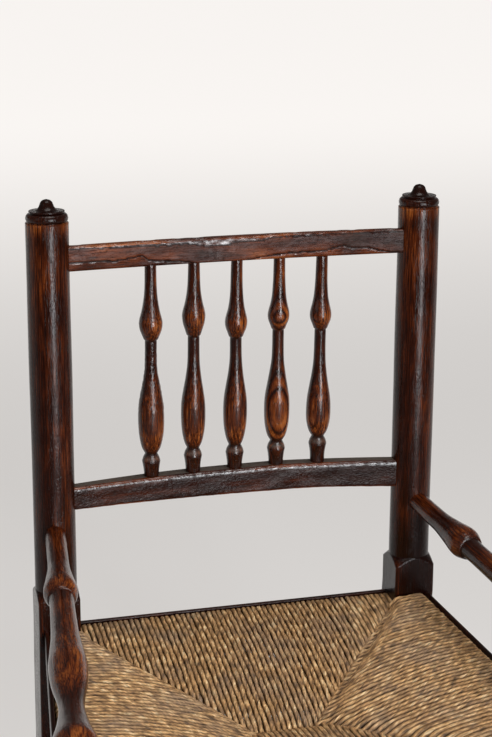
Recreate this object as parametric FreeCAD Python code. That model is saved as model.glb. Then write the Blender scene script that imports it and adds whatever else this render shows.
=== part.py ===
import FreeCAD, Part
import math
import os

# Open armchair: two turned back posts with small finials, two bowed back rails with a
# group of turned spindles, turned arms on turned front posts, and a woven rush seat
# carried by four hidden seat rails. All lengths are in millimetres and angles in degrees.
# X is the width, +Y the back, +Z up. The floor is Z = 0.
# Heights whose names end in _UP are measured up from the seat line, which is the top of
# the side edge strips. Heights on the raked back are measured along the posts.

Vector = FreeCAD.Vector

# Layout of the frame
SEAT_HEIGHT = 440.0
BACK_SPACING = 430.0
FRONT_SPACING = 540.0
SEAT_DEPTH = 430.0
BACK_RAKE = 6.5

# Back posts
POST_RADIUS = 23.8
BLOCK_SIDE = 48.0
BACK_FOOT_SIDE = 40.0
BACK_BLOCK_DROP = 60.0
BLOCK_TOP_UP = 30.0
SHOULDER_LENGTH = 13.0
POST_SHOULDER_UP = 465.0
GROOVE_RADIUS = 21.9
GROOVE_WIDTH = 1.3
RING_RADIUS = 23.4
RING_HEIGHT = 8.7
UNDERCUT_RADIUS = 18.6
UNDERCUT_WIDTH = 0.8
DISC_RADIUS = 19.9
DISC_HEIGHT = 2.0
BUTTON_BASE_RADIUS = 11.8
BUTTON_WAIST_RADIUS = 8.6
BUTTON_RADIUS = 7.5
BUTTON_HEIGHT = 12.4

# Back rails: the bow is how far the middle of a face lies behind its ends
TOP_RAIL_UP = 411.6
TOP_RAIL_HEIGHT = 27.6
TOP_RAIL_FRONT = -11.0
TOP_RAIL_THICKNESS = 12.0
TOP_RAIL_FRONT_BOW = 8.0
TOP_RAIL_BACK_BOW = 12.0
LOWER_RAIL_UP = 133.0
LOWER_RAIL_HEIGHT = 31.0
LOWER_RAIL_FRONT = -10.5
LOWER_RAIL_THICKNESS = 16.0
LOWER_RAIL_FRONT_BOW = 12.5
LOWER_RAIL_BACK_BOW = 19.5
RAIL_EDGE_RADIUS = 2.5
RAIL_TENON_LENGTH = 19.0

# Spindles: heights from the lower rail, drops from the top rail, rises from the turning below.
# They were turned by eye, so each row gives the value of every spindle from left to right.
SPINDLE_COUNT = 5
SPINDLE_SPACING = 50.0
SPINDLE_TENON_RADIUS = 4.5
SPINDLE_TENON_LENGTH = 14.0
CUP_FOOT_RADIUS = 8.4
CUP_RADIUS = 11.0
CUP_HEIGHTS = (19.5, 21.5, 21.0, 22.5, 25.0)
CUP_BEVEL = 4.0
LOW_NECK_RADIUS = 7.0
LOW_NECK_RISE = 7.0
BELLY_RADII = (15.0, 14.2, 13.9, 14.9, 14.3)
BELLY_HEIGHTS = (68.5, 69.5, 69.5, 67.5, 62.5)
SHANK_RADIUS = 6.7
SHANK_RISE = 72.0
STEP_DROPS = (86.0, 84.5, 89.5, 83.0, 85.0)
BULB_STEP_RADIUS = 7.9
BULB_RADII = (13.3, 13.2, 12.9, 12.6, 12.6)
BULB_RISES = (18.5, 23.0, 17.5, 16.0, 16.0)
TOP_NECK_RADIUS = 6.6
TOP_NECK_RISE = 45.0

# Arms: distances from the back post's axis, short of the front post's axis, or from the step
ARM_UP = 114.0
ARM_END_RADIUS = 11.6
ARM_SOCKET_DEPTH = 19.0
LEFT_ARM_STEP_AT = 170.0
RIGHT_ARM_STEP_AT = 147.0
ARM_STEP_RADIUS = 14.6
ARM_SHANK_BEFORE_STEP = 65.0
ARM_BULB_BEFORE_STEP = 14.0
ARM_BULB_RADIUS = 18.3
ARM_NECK_BEYOND_STEP = 19.0
LEFT_ARM_NECK_RADIUS = 12.9
RIGHT_ARM_NECK_RADIUS = 11.9
ARM_SWELL_RADIUS = 19.4
ARM_SWELL_SHORT = 142.0
ARM_FRONT_NECK_RADIUS = 12.6
ARM_FRONT_NECK_SHORT = 66.0
ARM_KNOB_RADIUS = 22.5
ARM_NOSE = 30.0
ARM_NOSE_RADIUS = 9.0

# Front posts: heights from the floor unless marked _UP
FRONT_FOOT_RADIUS = 15.0
FRONT_FOOT_SWELL = 20.5
FRONT_FOOT_HEIGHT = 34.0
FRONT_ANKLE_RADIUS = 14.5
FRONT_ANKLE_HEIGHT = 50.0
LEG_SWELL_RADIUS = 21.5
LOW_SWELL_HEIGHT = 128.0
LEG_WAIST_RADIUS = 16.0
LOW_WAIST_HEIGHT = 172.0
LEG_RING_RADIUS = 23.0
LEG_RING_HEIGHT = 14.0
LEG_RING_FOOT = 180.0
HIGH_SWELL_HEIGHT = 262.0
HIGH_WAIST_DROP = 14.0
FRONT_BLOCK_DROP = 60.0
FRONT_BLOCK_TOP_UP = 24.0
SUPPORT_WAIST_RADIUS = 12.0
SUPPORT_SWELL_RADIUS = 17.5
SUPPORT_NECK_RADIUS = 10.5
SUPPORT_SOCKET_DEPTH = 16.0

# Stretchers
STRETCHER_END_RADIUS = 8.5
STRETCHER_MIDDLE_RADIUS = 12.0
STRETCHER_END_GAP = 7.0
SIDE_STRETCHER_HEIGHTS = {"upper": 262.0, "lower": 128.0}
BACK_STRETCHER_HEIGHT = 198.0
FRONT_STRETCHER_HEIGHT = 187.0
FRONT_STRETCHER_BULB_RADIUS = 21.0
FRONT_STRETCHER_BULB_HALF = 34.0
FRONT_STRETCHER_RING_RADIUS = 15.0
FRONT_STRETCHER_SWELL_RADIUS = 15.5

# Seat rails, the thin edge strips outside the rush, and their nails
STRIP_OUT = 15.0
STRIP_THICKNESS = 5.0
STRIP_HEIGHT = 24.0
STRIP_EDGE_RADIUS = 1.8
CROSS_STRIP_DROP = 12.0
SEAT_RAIL_WIDTH = 24.0
SEAT_RAIL_HEIGHT = 22.0
SEAT_RAIL_EDGE_RADIUS = 5.0
SEAT_TENON_RADIUS = 5.5
SEAT_TENON_LENGTH = 17.0
NAIL_RADIUS = 1.1
NAIL_HEAD_RADIUS = 2.2
NAIL_HEAD_THICKNESS = 1.0
NAIL_LENGTH = 20.0
NAILS_PER_STRIP = 4
NAIL_DROP = 13.0
NAIL_END_MARGIN = 40.0

# Rush: one coat round every rail, sagging to a short seam in the middle
RUSH_COAT = 6.0
RUSH_ABOVE_STRIP = 1.0
RUSH_ROUNDING = 7.0
CORNER_SEAM_DROP = 15.0
MIDDLE_SEAM_DROP = 37.0
MIDDLE_SEAM_LENGTH = 72.0
MIDDLE_UNDERSIDE_DROP = 53.0
PANEL_SHOULDER_RUN = 28.0
PANEL_CROWN = 3.0
PANEL_END_RISE = 3.0
SAG_EXPONENT = 1.8
SAG_STEPS = 4

# Clearances
JOINT_CLEARANCE = 0.15
SOCKET_BOTTOM_GAP = 0.8
FACE_GAP = 0.2
RUSH_GAP = 0.3

# Values worked out from the sizes above
BACK_HALF = BACK_SPACING / 2
FRONT_HALF = FRONT_SPACING / 2
BLOCK_HALF = BLOCK_SIDE / 2
FLARE = math.atan2(FRONT_HALF - BACK_HALF, SEAT_DEPTH)
RAKE_SLOPE = math.tan(math.radians(BACK_RAKE))
CROSS_STRIP_TOP = SEAT_HEIGHT - CROSS_STRIP_DROP
RUSH_OUT = STRIP_OUT - STRIP_THICKNESS - RUSH_GAP
SEAT_RAIL_IN = SEAT_RAIL_WIDTH / 2 - (RUSH_OUT - RUSH_COAT)
SIDES = {"left": -1, "right": 1}


def lerp(a, b, share):
    """The value or point that lies a share of the way from a to b."""
    return a + (b - a) * share


def rod(start, end, radius):
    """A plain round bar between two points."""
    return Part.makeCylinder(radius, (end - start).Length, start, end - start)


def box_between(low, high):
    """An upright box from its low corner to its high corner."""
    size = high - low
    return Part.makeBox(size.x, size.y, size.z, low)


def turned(stretches):
    """A lathe-turned solid about Z. Each stretch is a list of (height, radius) points:
    two points make a straight stretch and more make a smooth curve."""
    points = [[Vector(radius, 0, height) for height, radius in stretch] for stretch in stretches]
    edges = [Part.makeLine(Vector(0, 0, points[0][0].z), points[0][0])]
    last = points[0][0]
    for stretch in points:
        if (stretch[0] - last).Length > 1e-6:
            edges.append(Part.makeLine(last, stretch[0]))
        if len(stretch) == 2:
            edges.append(Part.makeLine(stretch[0], stretch[1]))
        else:
            curve = Part.BSplineCurve()
            curve.interpolate(stretch)
            edges.append(curve.toShape())
        last = stretch[-1]
    axis_end = Vector(0, 0, last.z)
    edges.append(Part.makeLine(last, axis_end))
    edges.append(Part.makeLine(axis_end, edges[0].Vertexes[0].Point))
    face = Part.Face(Part.Wire(Part.__sortEdges__(edges)))
    return face.revolve(Vector(0, 0, 0), Vector(0, 0, 1), 360)


def along(shape, start, end):
    """Lays a shape made along Z on the line from start to end."""
    placed = shape.copy()
    placed.Placement = FreeCAD.Placement(start, FreeCAD.Rotation(Vector(0, 0, 1), end - start))
    return placed


def raked(shape):
    """Takes a shape from the upright plane of the back to its place on the raked posts."""
    placed = shape.copy()
    placed.rotate(Vector(0, 0, 0), Vector(1, 0, 0), -BACK_RAKE)
    placed.translate(Vector(0, 0, SEAT_HEIGHT))
    return placed


def socket(start, end, radius):
    """The hole for a round end: a running clearance round it and a gap at its bottom."""
    reach = (end - start).normalize()
    return rod(start, end + reach * SOCKET_BOTTOM_GAP, radius + JOINT_CLEARANCE)


# Points that the pieces share

def back_post_point(side, up):
    """A point on a back post's axis, at a height above the seat line."""
    return Vector(side * BACK_HALF, RAKE_SLOPE * up, SEAT_HEIGHT + up)


def arm_ends(side):
    """Where an arm's axis meets the axes of its back post and front post."""
    return back_post_point(side, ARM_UP), Vector(side * FRONT_HALF, -SEAT_DEPTH, SEAT_HEIGHT + ARM_UP)


def stretcher_ends(name):
    """Where a stretcher's axis meets the axes of the legs that it joins."""
    if name == "front":
        height = FRONT_STRETCHER_HEIGHT
        return Vector(-FRONT_HALF, -SEAT_DEPTH, height), Vector(FRONT_HALF, -SEAT_DEPTH, height)
    if name == "back":
        return Vector(-BACK_HALF, 0, BACK_STRETCHER_HEIGHT), Vector(BACK_HALF, 0, BACK_STRETCHER_HEIGHT)
    side_name, level = name.split("_")
    side = SIDES[side_name]
    height = SIDE_STRETCHER_HEIGHTS[level]
    return Vector(side * BACK_HALF, 0, height), Vector(side * FRONT_HALF, -SEAT_DEPTH, height)


STRETCHERS = ("front", "back", "left_upper", "left_lower", "right_upper", "right_lower")


def seat_line(name, inset, height):
    """The start and end of a line along one side of the seat, at a distance in from the
    line between the post centres. It ends level with those centres."""
    if name in SIDES:
        side = SIDES[name]
        shift = Vector(-side * inset / math.cos(FLARE), 0, height)
        return Vector(side * BACK_HALF, 0, 0) + shift, Vector(side * FRONT_HALF, -SEAT_DEPTH, 0) + shift
    if name == "back":
        return Vector(-BACK_HALF, -inset, height), Vector(BACK_HALF, -inset, height)
    return Vector(-FRONT_HALF, -SEAT_DEPTH + inset, height), Vector(FRONT_HALF, -SEAT_DEPTH + inset, height)


def strip_top(name):
    return SEAT_HEIGHT if name in SIDES else CROSS_STRIP_TOP


def between_blocks(name, gap):
    """The space between the two posts of one side of the seat, kept a gap off their blocks."""
    off = BLOCK_HALF + gap
    low_z = SEAT_HEIGHT - 2 * FRONT_BLOCK_DROP
    high_z = SEAT_HEIGHT + FRONT_BLOCK_DROP
    reach = FRONT_SPACING
    if name in SIDES:
        return box_between(Vector(-reach, -SEAT_DEPTH + off, low_z), Vector(reach, -off, high_z))
    half = BACK_HALF if name == "back" else FRONT_HALF
    return box_between(Vector(-half + off, -2 * SEAT_DEPTH, low_z), Vector(half - off, SEAT_DEPTH, high_z))


SEAT_SIDES = ("back", "front", "left", "right")


# Holes that more than one piece needs

def rail_tenon(name):
    """The round bar whose two ends are a seat rail's tenons."""
    rail_z = strip_top(name) + RUSH_ABOVE_STRIP - RUSH_COAT - SEAT_RAIL_HEIGHT / 2
    start, end = seat_line(name, SEAT_RAIL_IN, rail_z)
    reach = (end - start).normalize()
    inside = (BLOCK_HALF - SEAT_TENON_LENGTH) / abs(reach.y if name in SIDES else reach.x)
    return start + reach * inside, end - reach * inside


def nail_places(name):
    """Points on the outer face of an edge strip, and the way the nails point."""
    start, end = seat_line(name, -STRIP_OUT, strip_top(name) - NAIL_DROP)
    reach = (end - start).normalize()
    inward = Vector(-reach.y, reach.x, 0)
    middle = Vector(0, -SEAT_DEPTH / 2, start.z)
    if inward.dot(middle - start) < 0:
        inward = inward * -1
    first = start + reach * (BLOCK_HALF + NAIL_END_MARGIN)
    last = end - reach * (BLOCK_HALF + NAIL_END_MARGIN)
    return [lerp(first, last, i / (NAILS_PER_STRIP - 1)) for i in range(NAILS_PER_STRIP)], inward


def nails(name, clearance):
    """The nails of one strip, or with a clearance the holes that they need."""
    places, inward = nail_places(name)
    shapes = []
    for place in places:
        head = rod(place, place + inward * (NAIL_HEAD_THICKNESS + clearance), NAIL_HEAD_RADIUS + clearance)
        shank = rod(place, place + inward * (NAIL_LENGTH + clearance), NAIL_RADIUS + clearance)
        shapes.append(head.fuse(shank))
    return shapes


# Back posts

def lathe_block(low, top):
    """A square block whose top corners are cut off by the lathe where the round begins."""
    corner = BLOCK_HALF * math.sqrt(2) + 1
    high = top + SHOULDER_LENGTH
    square = box_between(Vector(-BLOCK_HALF, -BLOCK_HALF, low), Vector(BLOCK_HALF, BLOCK_HALF, high))
    cone = turned([[(low, corner), (top, corner)], [(top, corner), (high, POST_RADIUS - 1)]])
    return square.common(cone)


def finial_stretches(foot):
    """The groove, ring, undercut, disc and button at the head of a back post."""
    ring_foot = foot + GROOVE_WIDTH
    ring_middle = ring_foot + RING_HEIGHT / 2
    ring_top = ring_foot + RING_HEIGHT
    disc_foot = ring_top + UNDERCUT_WIDTH
    disc_top = disc_foot + DISC_HEIGHT
    button_top = disc_top + BUTTON_HEIGHT
    return [
        [(foot, GROOVE_RADIUS), (ring_foot, GROOVE_RADIUS)],
        [(ring_foot, RING_RADIUS - 1.2), (ring_middle, RING_RADIUS), (ring_top, RING_RADIUS - 3)],
        [(ring_top, UNDERCUT_RADIUS), (disc_foot, UNDERCUT_RADIUS)],
        [(disc_foot, DISC_RADIUS - 0.5), (disc_top, DISC_RADIUS)],
        [
            (disc_top, BUTTON_BASE_RADIUS),
            (lerp(disc_top, button_top, 0.32), BUTTON_WAIST_RADIUS),
            (lerp(disc_top, button_top, 0.55), BUTTON_RADIUS),
            (lerp(disc_top, button_top, 0.76), BUTTON_RADIUS - 1),
            (lerp(disc_top, button_top, 0.92), BUTTON_RADIUS - 3.2),
            (button_top, 0.6),
        ],
    ]


def back_post(side):
    """One piece of wood: a square tapered leg, a block, a raked round post and its finial."""
    round_foot = BLOCK_TOP_UP + 1
    stretches = [[(round_foot, POST_RADIUS), (POST_SHOULDER_UP, POST_RADIUS)]]
    upper = turned(stretches + finial_stretches(POST_SHOULDER_UP))
    upper = upper.fuse(lathe_block(-BLOCK_HALF, BLOCK_TOP_UP))
    reach = Vector(BLOCK_SIDE, BLOCK_SIDE, 0)
    above_seat = box_between(Vector(0, 0, SEAT_HEIGHT) - reach * 3, Vector(0, 0, 3 * SEAT_HEIGHT) + reach * 3)
    upper = raked(upper).common(above_seat)
    foot = BACK_FOOT_SIDE / 2
    squares = []
    for half, height in ((foot, 0), (BLOCK_HALF, SEAT_HEIGHT - BACK_BLOCK_DROP), (BLOCK_HALF, SEAT_HEIGHT)):
        corners = [(-half, -half), (half, -half), (half, half), (-half, half), (-half, -half)]
        squares.append(Part.makePolygon([Vector(x, y, height) for x, y in corners]))
    leg = Part.makeLoft(squares, True, True)
    post = leg.fuse(upper)
    post.translate(Vector(side * BACK_HALF, 0, 0))
    cuts = [back_rail("top", JOINT_CLEARANCE), back_rail("lower", JOINT_CLEARANCE), arm_back_socket(side)]
    cuts += post_sockets(side * BACK_HALF, 0)
    return post.cut(Part.makeCompound(cuts)).removeSplitter()


def post_sockets(x, y):
    """The sockets for every seat rail and stretcher that meets the post at this place."""
    found = []
    for name in SEAT_SIDES:
        ends = rail_tenon(name)
        for near, far in (ends, ends[::-1]):
            if math.hypot(near.x - x, near.y - y) < BLOCK_HALF:
                found.append(socket((near + far) / 2, near, SEAT_TENON_RADIUS))
    for name in STRETCHERS:
        ends = stretcher_ends(name)
        for near, far in (ends, ends[::-1]):
            if math.hypot(near.x - x, near.y - y) < BLOCK_HALF:
                reach = (far - near).normalize()
                found.append(socket((near + far) / 2, near + reach * STRETCHER_END_GAP, STRETCHER_END_RADIUS))
    return found


# Back rails and spindles

# Each rail's foot height, height, front face, thickness, front bow and back bow
RAILS = {
    "top": (
        TOP_RAIL_UP,
        TOP_RAIL_HEIGHT,
        TOP_RAIL_FRONT,
        TOP_RAIL_THICKNESS,
        TOP_RAIL_FRONT_BOW,
        TOP_RAIL_BACK_BOW,
    ),
    "lower": (
        LOWER_RAIL_UP,
        LOWER_RAIL_HEIGHT,
        LOWER_RAIL_FRONT,
        LOWER_RAIL_THICKNESS,
        LOWER_RAIL_FRONT_BOW,
        LOWER_RAIL_BACK_BOW,
    ),
}


def back_rail(name, clearance=0.0):
    """A bowed rail whose ends enter the posts, or with a clearance the mortises for it."""
    foot, height, front, thickness, front_bow, back_bow = RAILS[name]
    end = BACK_HALF - POST_RADIUS + RAIL_TENON_LENGTH + 3 * clearance
    front_y = front - clearance
    back_y = front + thickness + clearance
    low = foot - clearance
    corners = [Vector(x, y, low) for x, y in ((-end, front_y), (end, front_y), (end, back_y), (-end, back_y))]
    front_arc = Part.Arc(corners[0], Vector(0, front_y + front_bow, low), corners[1]).toShape()
    back_arc = Part.Arc(corners[2], Vector(0, back_y + back_bow, low), corners[3]).toShape()
    sides = [Part.makeLine(corners[1], corners[2]), Part.makeLine(corners[3], corners[0])]
    outline = Part.Wire([front_arc, sides[0], back_arc, sides[1]])
    rail = Part.Face(outline).extrude(Vector(0, 0, height + 2 * clearance))
    if clearance == 0:
        long_edges = [e for e in rail.Edges if isinstance(e.Curve, Part.Circle)]
        rail = rail.makeFillet(RAIL_EDGE_RADIUS, long_edges)
    return raked(rail)


def rail_middle_y(name, x):
    """How far behind the posts' plane the middle of a rail's thickness lies at x."""
    front, thickness, front_bow, back_bow = RAILS[name][2:]
    end = BACK_HALF - POST_RADIUS + RAIL_TENON_LENGTH
    return front + thickness / 2 + (front_bow + back_bow) / 2 * (1 - (x / end) ** 2)


def spindle_ends(index):
    """Where a spindle meets the lower rail's top and the top rail's underside."""
    x = (index - (SPINDLE_COUNT - 1) / 2) * SPINDLE_SPACING
    low = Vector(x, rail_middle_y("lower", x), LOWER_RAIL_UP + LOWER_RAIL_HEIGHT)
    high = Vector(x, rail_middle_y("top", x), TOP_RAIL_UP)
    return low, high


def of_spindle(row, index):
    """A spindle's own value from a row of values, which repeats for spindles beyond its end."""
    return row[index % len(row)]


def spindle_stretches(length, index):
    """The turned outline of a spindle, from its bottom tenon to its top tenon."""
    cup = of_spindle(CUP_HEIGHTS, index)
    neck = cup + LOW_NECK_RISE
    belly = of_spindle(BELLY_HEIGHTS, index)
    belly_radius = of_spindle(BELLY_RADII, index)
    shank = belly + SHANK_RISE
    step = length - of_spindle(STEP_DROPS, index)
    bulb = step + of_spindle(BULB_RISES, index)
    bulb_radius = of_spindle(BULB_RADII, index)
    top_neck = bulb + TOP_NECK_RISE
    return [
        [(-SPINDLE_TENON_LENGTH, SPINDLE_TENON_RADIUS), (0, SPINDLE_TENON_RADIUS)],
        [(0, CUP_FOOT_RADIUS), (cup / 2, CUP_FOOT_RADIUS + 0.5), (cup, CUP_RADIUS)],
        [(cup, CUP_RADIUS), (cup + CUP_BEVEL, CUP_RADIUS - 3)],
        [(cup + CUP_BEVEL, CUP_RADIUS - 3), (neck - 1.5, LOW_NECK_RADIUS - 0.7)],
        [
            (neck - 1.5, LOW_NECK_RADIUS - 0.7),
            (neck, LOW_NECK_RADIUS),
            (lerp(neck, belly, 0.16), 0.71 * belly_radius),
            (lerp(neck, belly, 0.40), 0.875 * belly_radius),
            (lerp(neck, belly, 0.65), 0.965 * belly_radius),
            (belly, belly_radius),
            (lerp(belly, shank, 0.21), 0.955 * belly_radius),
            (lerp(belly, shank, 0.40), 0.81 * belly_radius),
            (lerp(belly, shank, 0.60), 0.645 * belly_radius),
            (lerp(belly, shank, 0.81), SHANK_RADIUS + 0.7),
            (shank, SHANK_RADIUS + 0.15),
            (step, SHANK_RADIUS),
        ],
        [
            (step, BULB_STEP_RADIUS),
            (lerp(step, bulb, 0.31), 0.77 * bulb_radius),
            (lerp(step, bulb, 0.62), 0.93 * bulb_radius),
            (bulb, bulb_radius),
            (lerp(bulb, top_neck, 0.13), 0.94 * bulb_radius),
            (lerp(bulb, top_neck, 0.29), 0.80 * bulb_radius),
            (lerp(bulb, top_neck, 0.49), 0.67 * bulb_radius),
            (lerp(bulb, top_neck, 0.73), TOP_NECK_RADIUS + 0.9),
            (top_neck, TOP_NECK_RADIUS + 0.3),
            (length, TOP_NECK_RADIUS),
        ],
        [(length, SPINDLE_TENON_RADIUS), (length + SPINDLE_TENON_LENGTH, SPINDLE_TENON_RADIUS)],
    ]


def spindle(index):
    low, high = spindle_ends(index)
    blank = turned(spindle_stretches((high - low).Length, index))
    return raked(along(blank, low, high))


def drilled_rail(name):
    """A back rail with its flat seats and holes for the spindle tenons."""
    rail = back_rail(name)
    for index in range(SPINDLE_COUNT):
        low, high = spindle_ends(index)
        start, way, seat_radius = high, (high - low).normalize(), TOP_NECK_RADIUS
        if name == "lower":
            start, way, seat_radius = low, way * -1, CUP_FOOT_RADIUS
        clear_of_rail = start - way * SPINDLE_TENON_RADIUS
        hole = socket(clear_of_rail, start + way * SPINDLE_TENON_LENGTH, SPINDLE_TENON_RADIUS)
        seat = rod(clear_of_rail, start + way * FACE_GAP, seat_radius + JOINT_CLEARANCE)
        rail = rail.cut(raked(hole.fuse(seat)))
    return rail


# Arms

def arm_back_socket(side):
    back, front = arm_ends(side)
    reach = (front - back).normalize()
    start = back + reach * (POST_RADIUS + ARM_SOCKET_DEPTH)
    return socket(start, back + reach * (POST_RADIUS - ARM_SOCKET_DEPTH), ARM_END_RADIUS)


def arm_stretches(length, side):
    """The turned outline of an arm: shank, bulb with a step, long swell, neck and knob."""
    step = LEFT_ARM_STEP_AT if side < 0 else RIGHT_ARM_STEP_AT
    neck_radius = LEFT_ARM_NECK_RADIUS if side < 0 else RIGHT_ARM_NECK_RADIUS
    shank_end = step - ARM_SHANK_BEFORE_STEP
    bulb = step - ARM_BULB_BEFORE_STEP
    neck = step + ARM_NECK_BEYOND_STEP
    swell_at = length - ARM_SWELL_SHORT
    front_neck = length - ARM_FRONT_NECK_SHORT
    return [
        [(POST_RADIUS - ARM_SOCKET_DEPTH, ARM_END_RADIUS), (shank_end - 18, ARM_END_RADIUS)],
        [
            (shank_end - 18, ARM_END_RADIUS),
            (shank_end, ARM_END_RADIUS + 0.6),
            (lerp(shank_end, bulb, 0.5), ARM_BULB_RADIUS - 3.0),
            (bulb, ARM_BULB_RADIUS),
            (step, ARM_STEP_RADIUS),
        ],
        [
            (step, neck_radius + 0.5),
            (neck, neck_radius),
            (lerp(neck, swell_at, 0.5), neck_radius + 1.6),
            (lerp(neck, swell_at, 0.8), ARM_SWELL_RADIUS - 1.9),
            (swell_at, ARM_SWELL_RADIUS),
            (lerp(swell_at, front_neck, 0.4), ARM_SWELL_RADIUS - 1.5),
            (lerp(swell_at, front_neck, 0.75), ARM_FRONT_NECK_RADIUS + 1.2),
            (front_neck, ARM_FRONT_NECK_RADIUS),
            (lerp(front_neck, length, 0.45), ARM_FRONT_NECK_RADIUS + 3.4),
            (length - ARM_NOSE_RADIUS, ARM_KNOB_RADIUS - 0.8),
            (length, ARM_KNOB_RADIUS),
            (length + ARM_NOSE * 0.6, ARM_KNOB_RADIUS - 3.5),
            (length + ARM_NOSE, ARM_NOSE_RADIUS),
        ],
    ]


def arm(side):
    back, front = arm_ends(side)
    blank = along(turned(arm_stretches((front - back).Length, side)), back, front)
    below = front - Vector(0, 0, 2 * ARM_KNOB_RADIUS)
    return blank.cut(socket(below, support_top(side), SUPPORT_NECK_RADIUS))


def support_top(side):
    """The top end of a front post, inside the knob of its arm."""
    front = arm_ends(side)[1]
    return front - Vector(0, 0, ARM_KNOB_RADIUS - SUPPORT_SOCKET_DEPTH)


# Front posts

def front_post(side):
    """A turned leg, a square block at the seat and the turned support of the arm."""
    block_low = SEAT_HEIGHT - FRONT_BLOCK_DROP
    block_top = SEAT_HEIGHT + FRONT_BLOCK_TOP_UP
    ring_middle = LEG_RING_FOOT + LEG_RING_HEIGHT / 2
    ring_top = LEG_RING_FOOT + LEG_RING_HEIGHT
    high_waist = block_low - HIGH_WAIST_DROP
    turned_foot = block_top + SHOULDER_LENGTH
    top = support_top(side).z
    support_swell = lerp(turned_foot, SEAT_HEIGHT + ARM_UP - ARM_KNOB_RADIUS, 0.4)
    stretches = [
        [
            (0, FRONT_FOOT_RADIUS),
            (FRONT_FOOT_HEIGHT * 0.55, FRONT_FOOT_SWELL),
            (FRONT_FOOT_HEIGHT, FRONT_FOOT_SWELL - 3.0),
            (FRONT_ANKLE_HEIGHT, FRONT_ANKLE_RADIUS),
            (lerp(FRONT_ANKLE_HEIGHT, LOW_SWELL_HEIGHT, 0.6), LEG_SWELL_RADIUS - 1.8),
            (LOW_SWELL_HEIGHT, LEG_SWELL_RADIUS),
            (LOW_WAIST_HEIGHT, LEG_WAIST_RADIUS),
            (LEG_RING_FOOT, LEG_WAIST_RADIUS),
        ],
        [
            (LEG_RING_FOOT, LEG_RING_RADIUS - 2),
            (ring_middle, LEG_RING_RADIUS),
            (ring_top, LEG_RING_RADIUS - 2),
        ],
        [
            (ring_top, LEG_WAIST_RADIUS),
            (lerp(ring_top, HIGH_SWELL_HEIGHT, 0.5), LEG_WAIST_RADIUS + 3.0),
            (HIGH_SWELL_HEIGHT, LEG_SWELL_RADIUS),
            (lerp(HIGH_SWELL_HEIGHT, high_waist, 0.5), LEG_SWELL_RADIUS - 1.6),
            (high_waist, LEG_WAIST_RADIUS),
            (block_low + 1, LEG_WAIST_RADIUS + 4),
        ],
        [(block_low + 1, LEG_WAIST_RADIUS + 4), (turned_foot, LEG_WAIST_RADIUS + 4)],
        [
            (turned_foot, SUPPORT_WAIST_RADIUS),
            (support_swell, SUPPORT_SWELL_RADIUS),
            (SEAT_HEIGHT + ARM_UP - ARM_KNOB_RADIUS - 4, SUPPORT_NECK_RADIUS + 0.6),
        ],
        [(SEAT_HEIGHT + ARM_UP - ARM_KNOB_RADIUS - 4, SUPPORT_NECK_RADIUS), (top, SUPPORT_NECK_RADIUS)],
    ]
    post = turned(stretches).fuse(lathe_block(block_low, block_top))
    post.translate(Vector(side * FRONT_HALF, -SEAT_DEPTH, 0))
    return post.cut(Part.makeCompound(post_sockets(side * FRONT_HALF, -SEAT_DEPTH))).removeSplitter()


# Stretchers

def plain_stretches(length):
    """A stretcher that swells gently from its ends to its middle."""
    return [
        [(STRETCHER_END_GAP, STRETCHER_END_RADIUS), (BLOCK_HALF + 8, STRETCHER_END_RADIUS)],
        [
            (BLOCK_HALF + 8, STRETCHER_END_RADIUS),
            (length / 2, STRETCHER_MIDDLE_RADIUS),
            (length - BLOCK_HALF - 8, STRETCHER_END_RADIUS),
        ],
        [(length - BLOCK_HALF - 8, STRETCHER_END_RADIUS), (length - STRETCHER_END_GAP, STRETCHER_END_RADIUS)],
    ]


def front_stretcher_stretches(length):
    """Two long swells with a ringed ball between them."""
    middle = length / 2
    ring = FRONT_STRETCHER_BULB_HALF
    half = [
        [(STRETCHER_END_GAP, STRETCHER_END_RADIUS), (BLOCK_HALF + 8, STRETCHER_END_RADIUS)],
        [
            (BLOCK_HALF + 8, STRETCHER_END_RADIUS),
            (lerp(BLOCK_HALF, middle - ring, 0.35), FRONT_STRETCHER_SWELL_RADIUS - 3.5),
            (lerp(BLOCK_HALF, middle - ring, 0.7), FRONT_STRETCHER_SWELL_RADIUS),
            (middle - ring - 6, STRETCHER_END_RADIUS),
        ],
        [(middle - ring - 6, FRONT_STRETCHER_RING_RADIUS - 1), (middle - ring, FRONT_STRETCHER_RING_RADIUS)],
    ]
    ball = [
        (middle - ring, STRETCHER_END_RADIUS),
        (middle - ring * 0.45, FRONT_STRETCHER_BULB_RADIUS - 3.0),
        (middle, FRONT_STRETCHER_BULB_RADIUS),
        (middle + ring * 0.45, FRONT_STRETCHER_BULB_RADIUS - 3.0),
        (middle + ring, STRETCHER_END_RADIUS),
    ]
    mirrored = [[(length - at, radius) for at, radius in reversed(stretch)] for stretch in reversed(half)]
    return half + [ball] + mirrored


def stretcher(name):
    start, end = stretcher_ends(name)
    length = (end - start).Length
    stretches = front_stretcher_stretches(length) if name == "front" else plain_stretches(length)
    return along(turned(stretches), start, end)


# Seat rails and edge strips

def long_block(name, inset, width, low, high):
    """A rectangular block along the whole of one side of the seat."""
    a, b = seat_line(name, inset, low)
    d, c = seat_line(name, inset + width, low)
    return Part.Face(Part.makePolygon([a, b, c, d, a])).extrude(Vector(0, 0, high - low))


def bar(name, inset, width, low, high, edge_radius, lowest_edge):
    """A block cut off between the posts, with its long edges above a height rounded."""
    body = long_block(name, inset, width, low, high).common(between_blocks(name, FACE_GAP))
    start, end = seat_line(name, inset, low)
    reach = (end - start).normalize()
    chosen = []
    for edge in body.Edges:
        first, last = edge.Vertexes[0].Point, edge.Vertexes[-1].Point
        is_long = abs((last - first).normalize().dot(reach)) > 0.99
        if is_long and first.z > lowest_edge:
            chosen.append(edge)
    return body.makeFillet(edge_radius, chosen)


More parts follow.
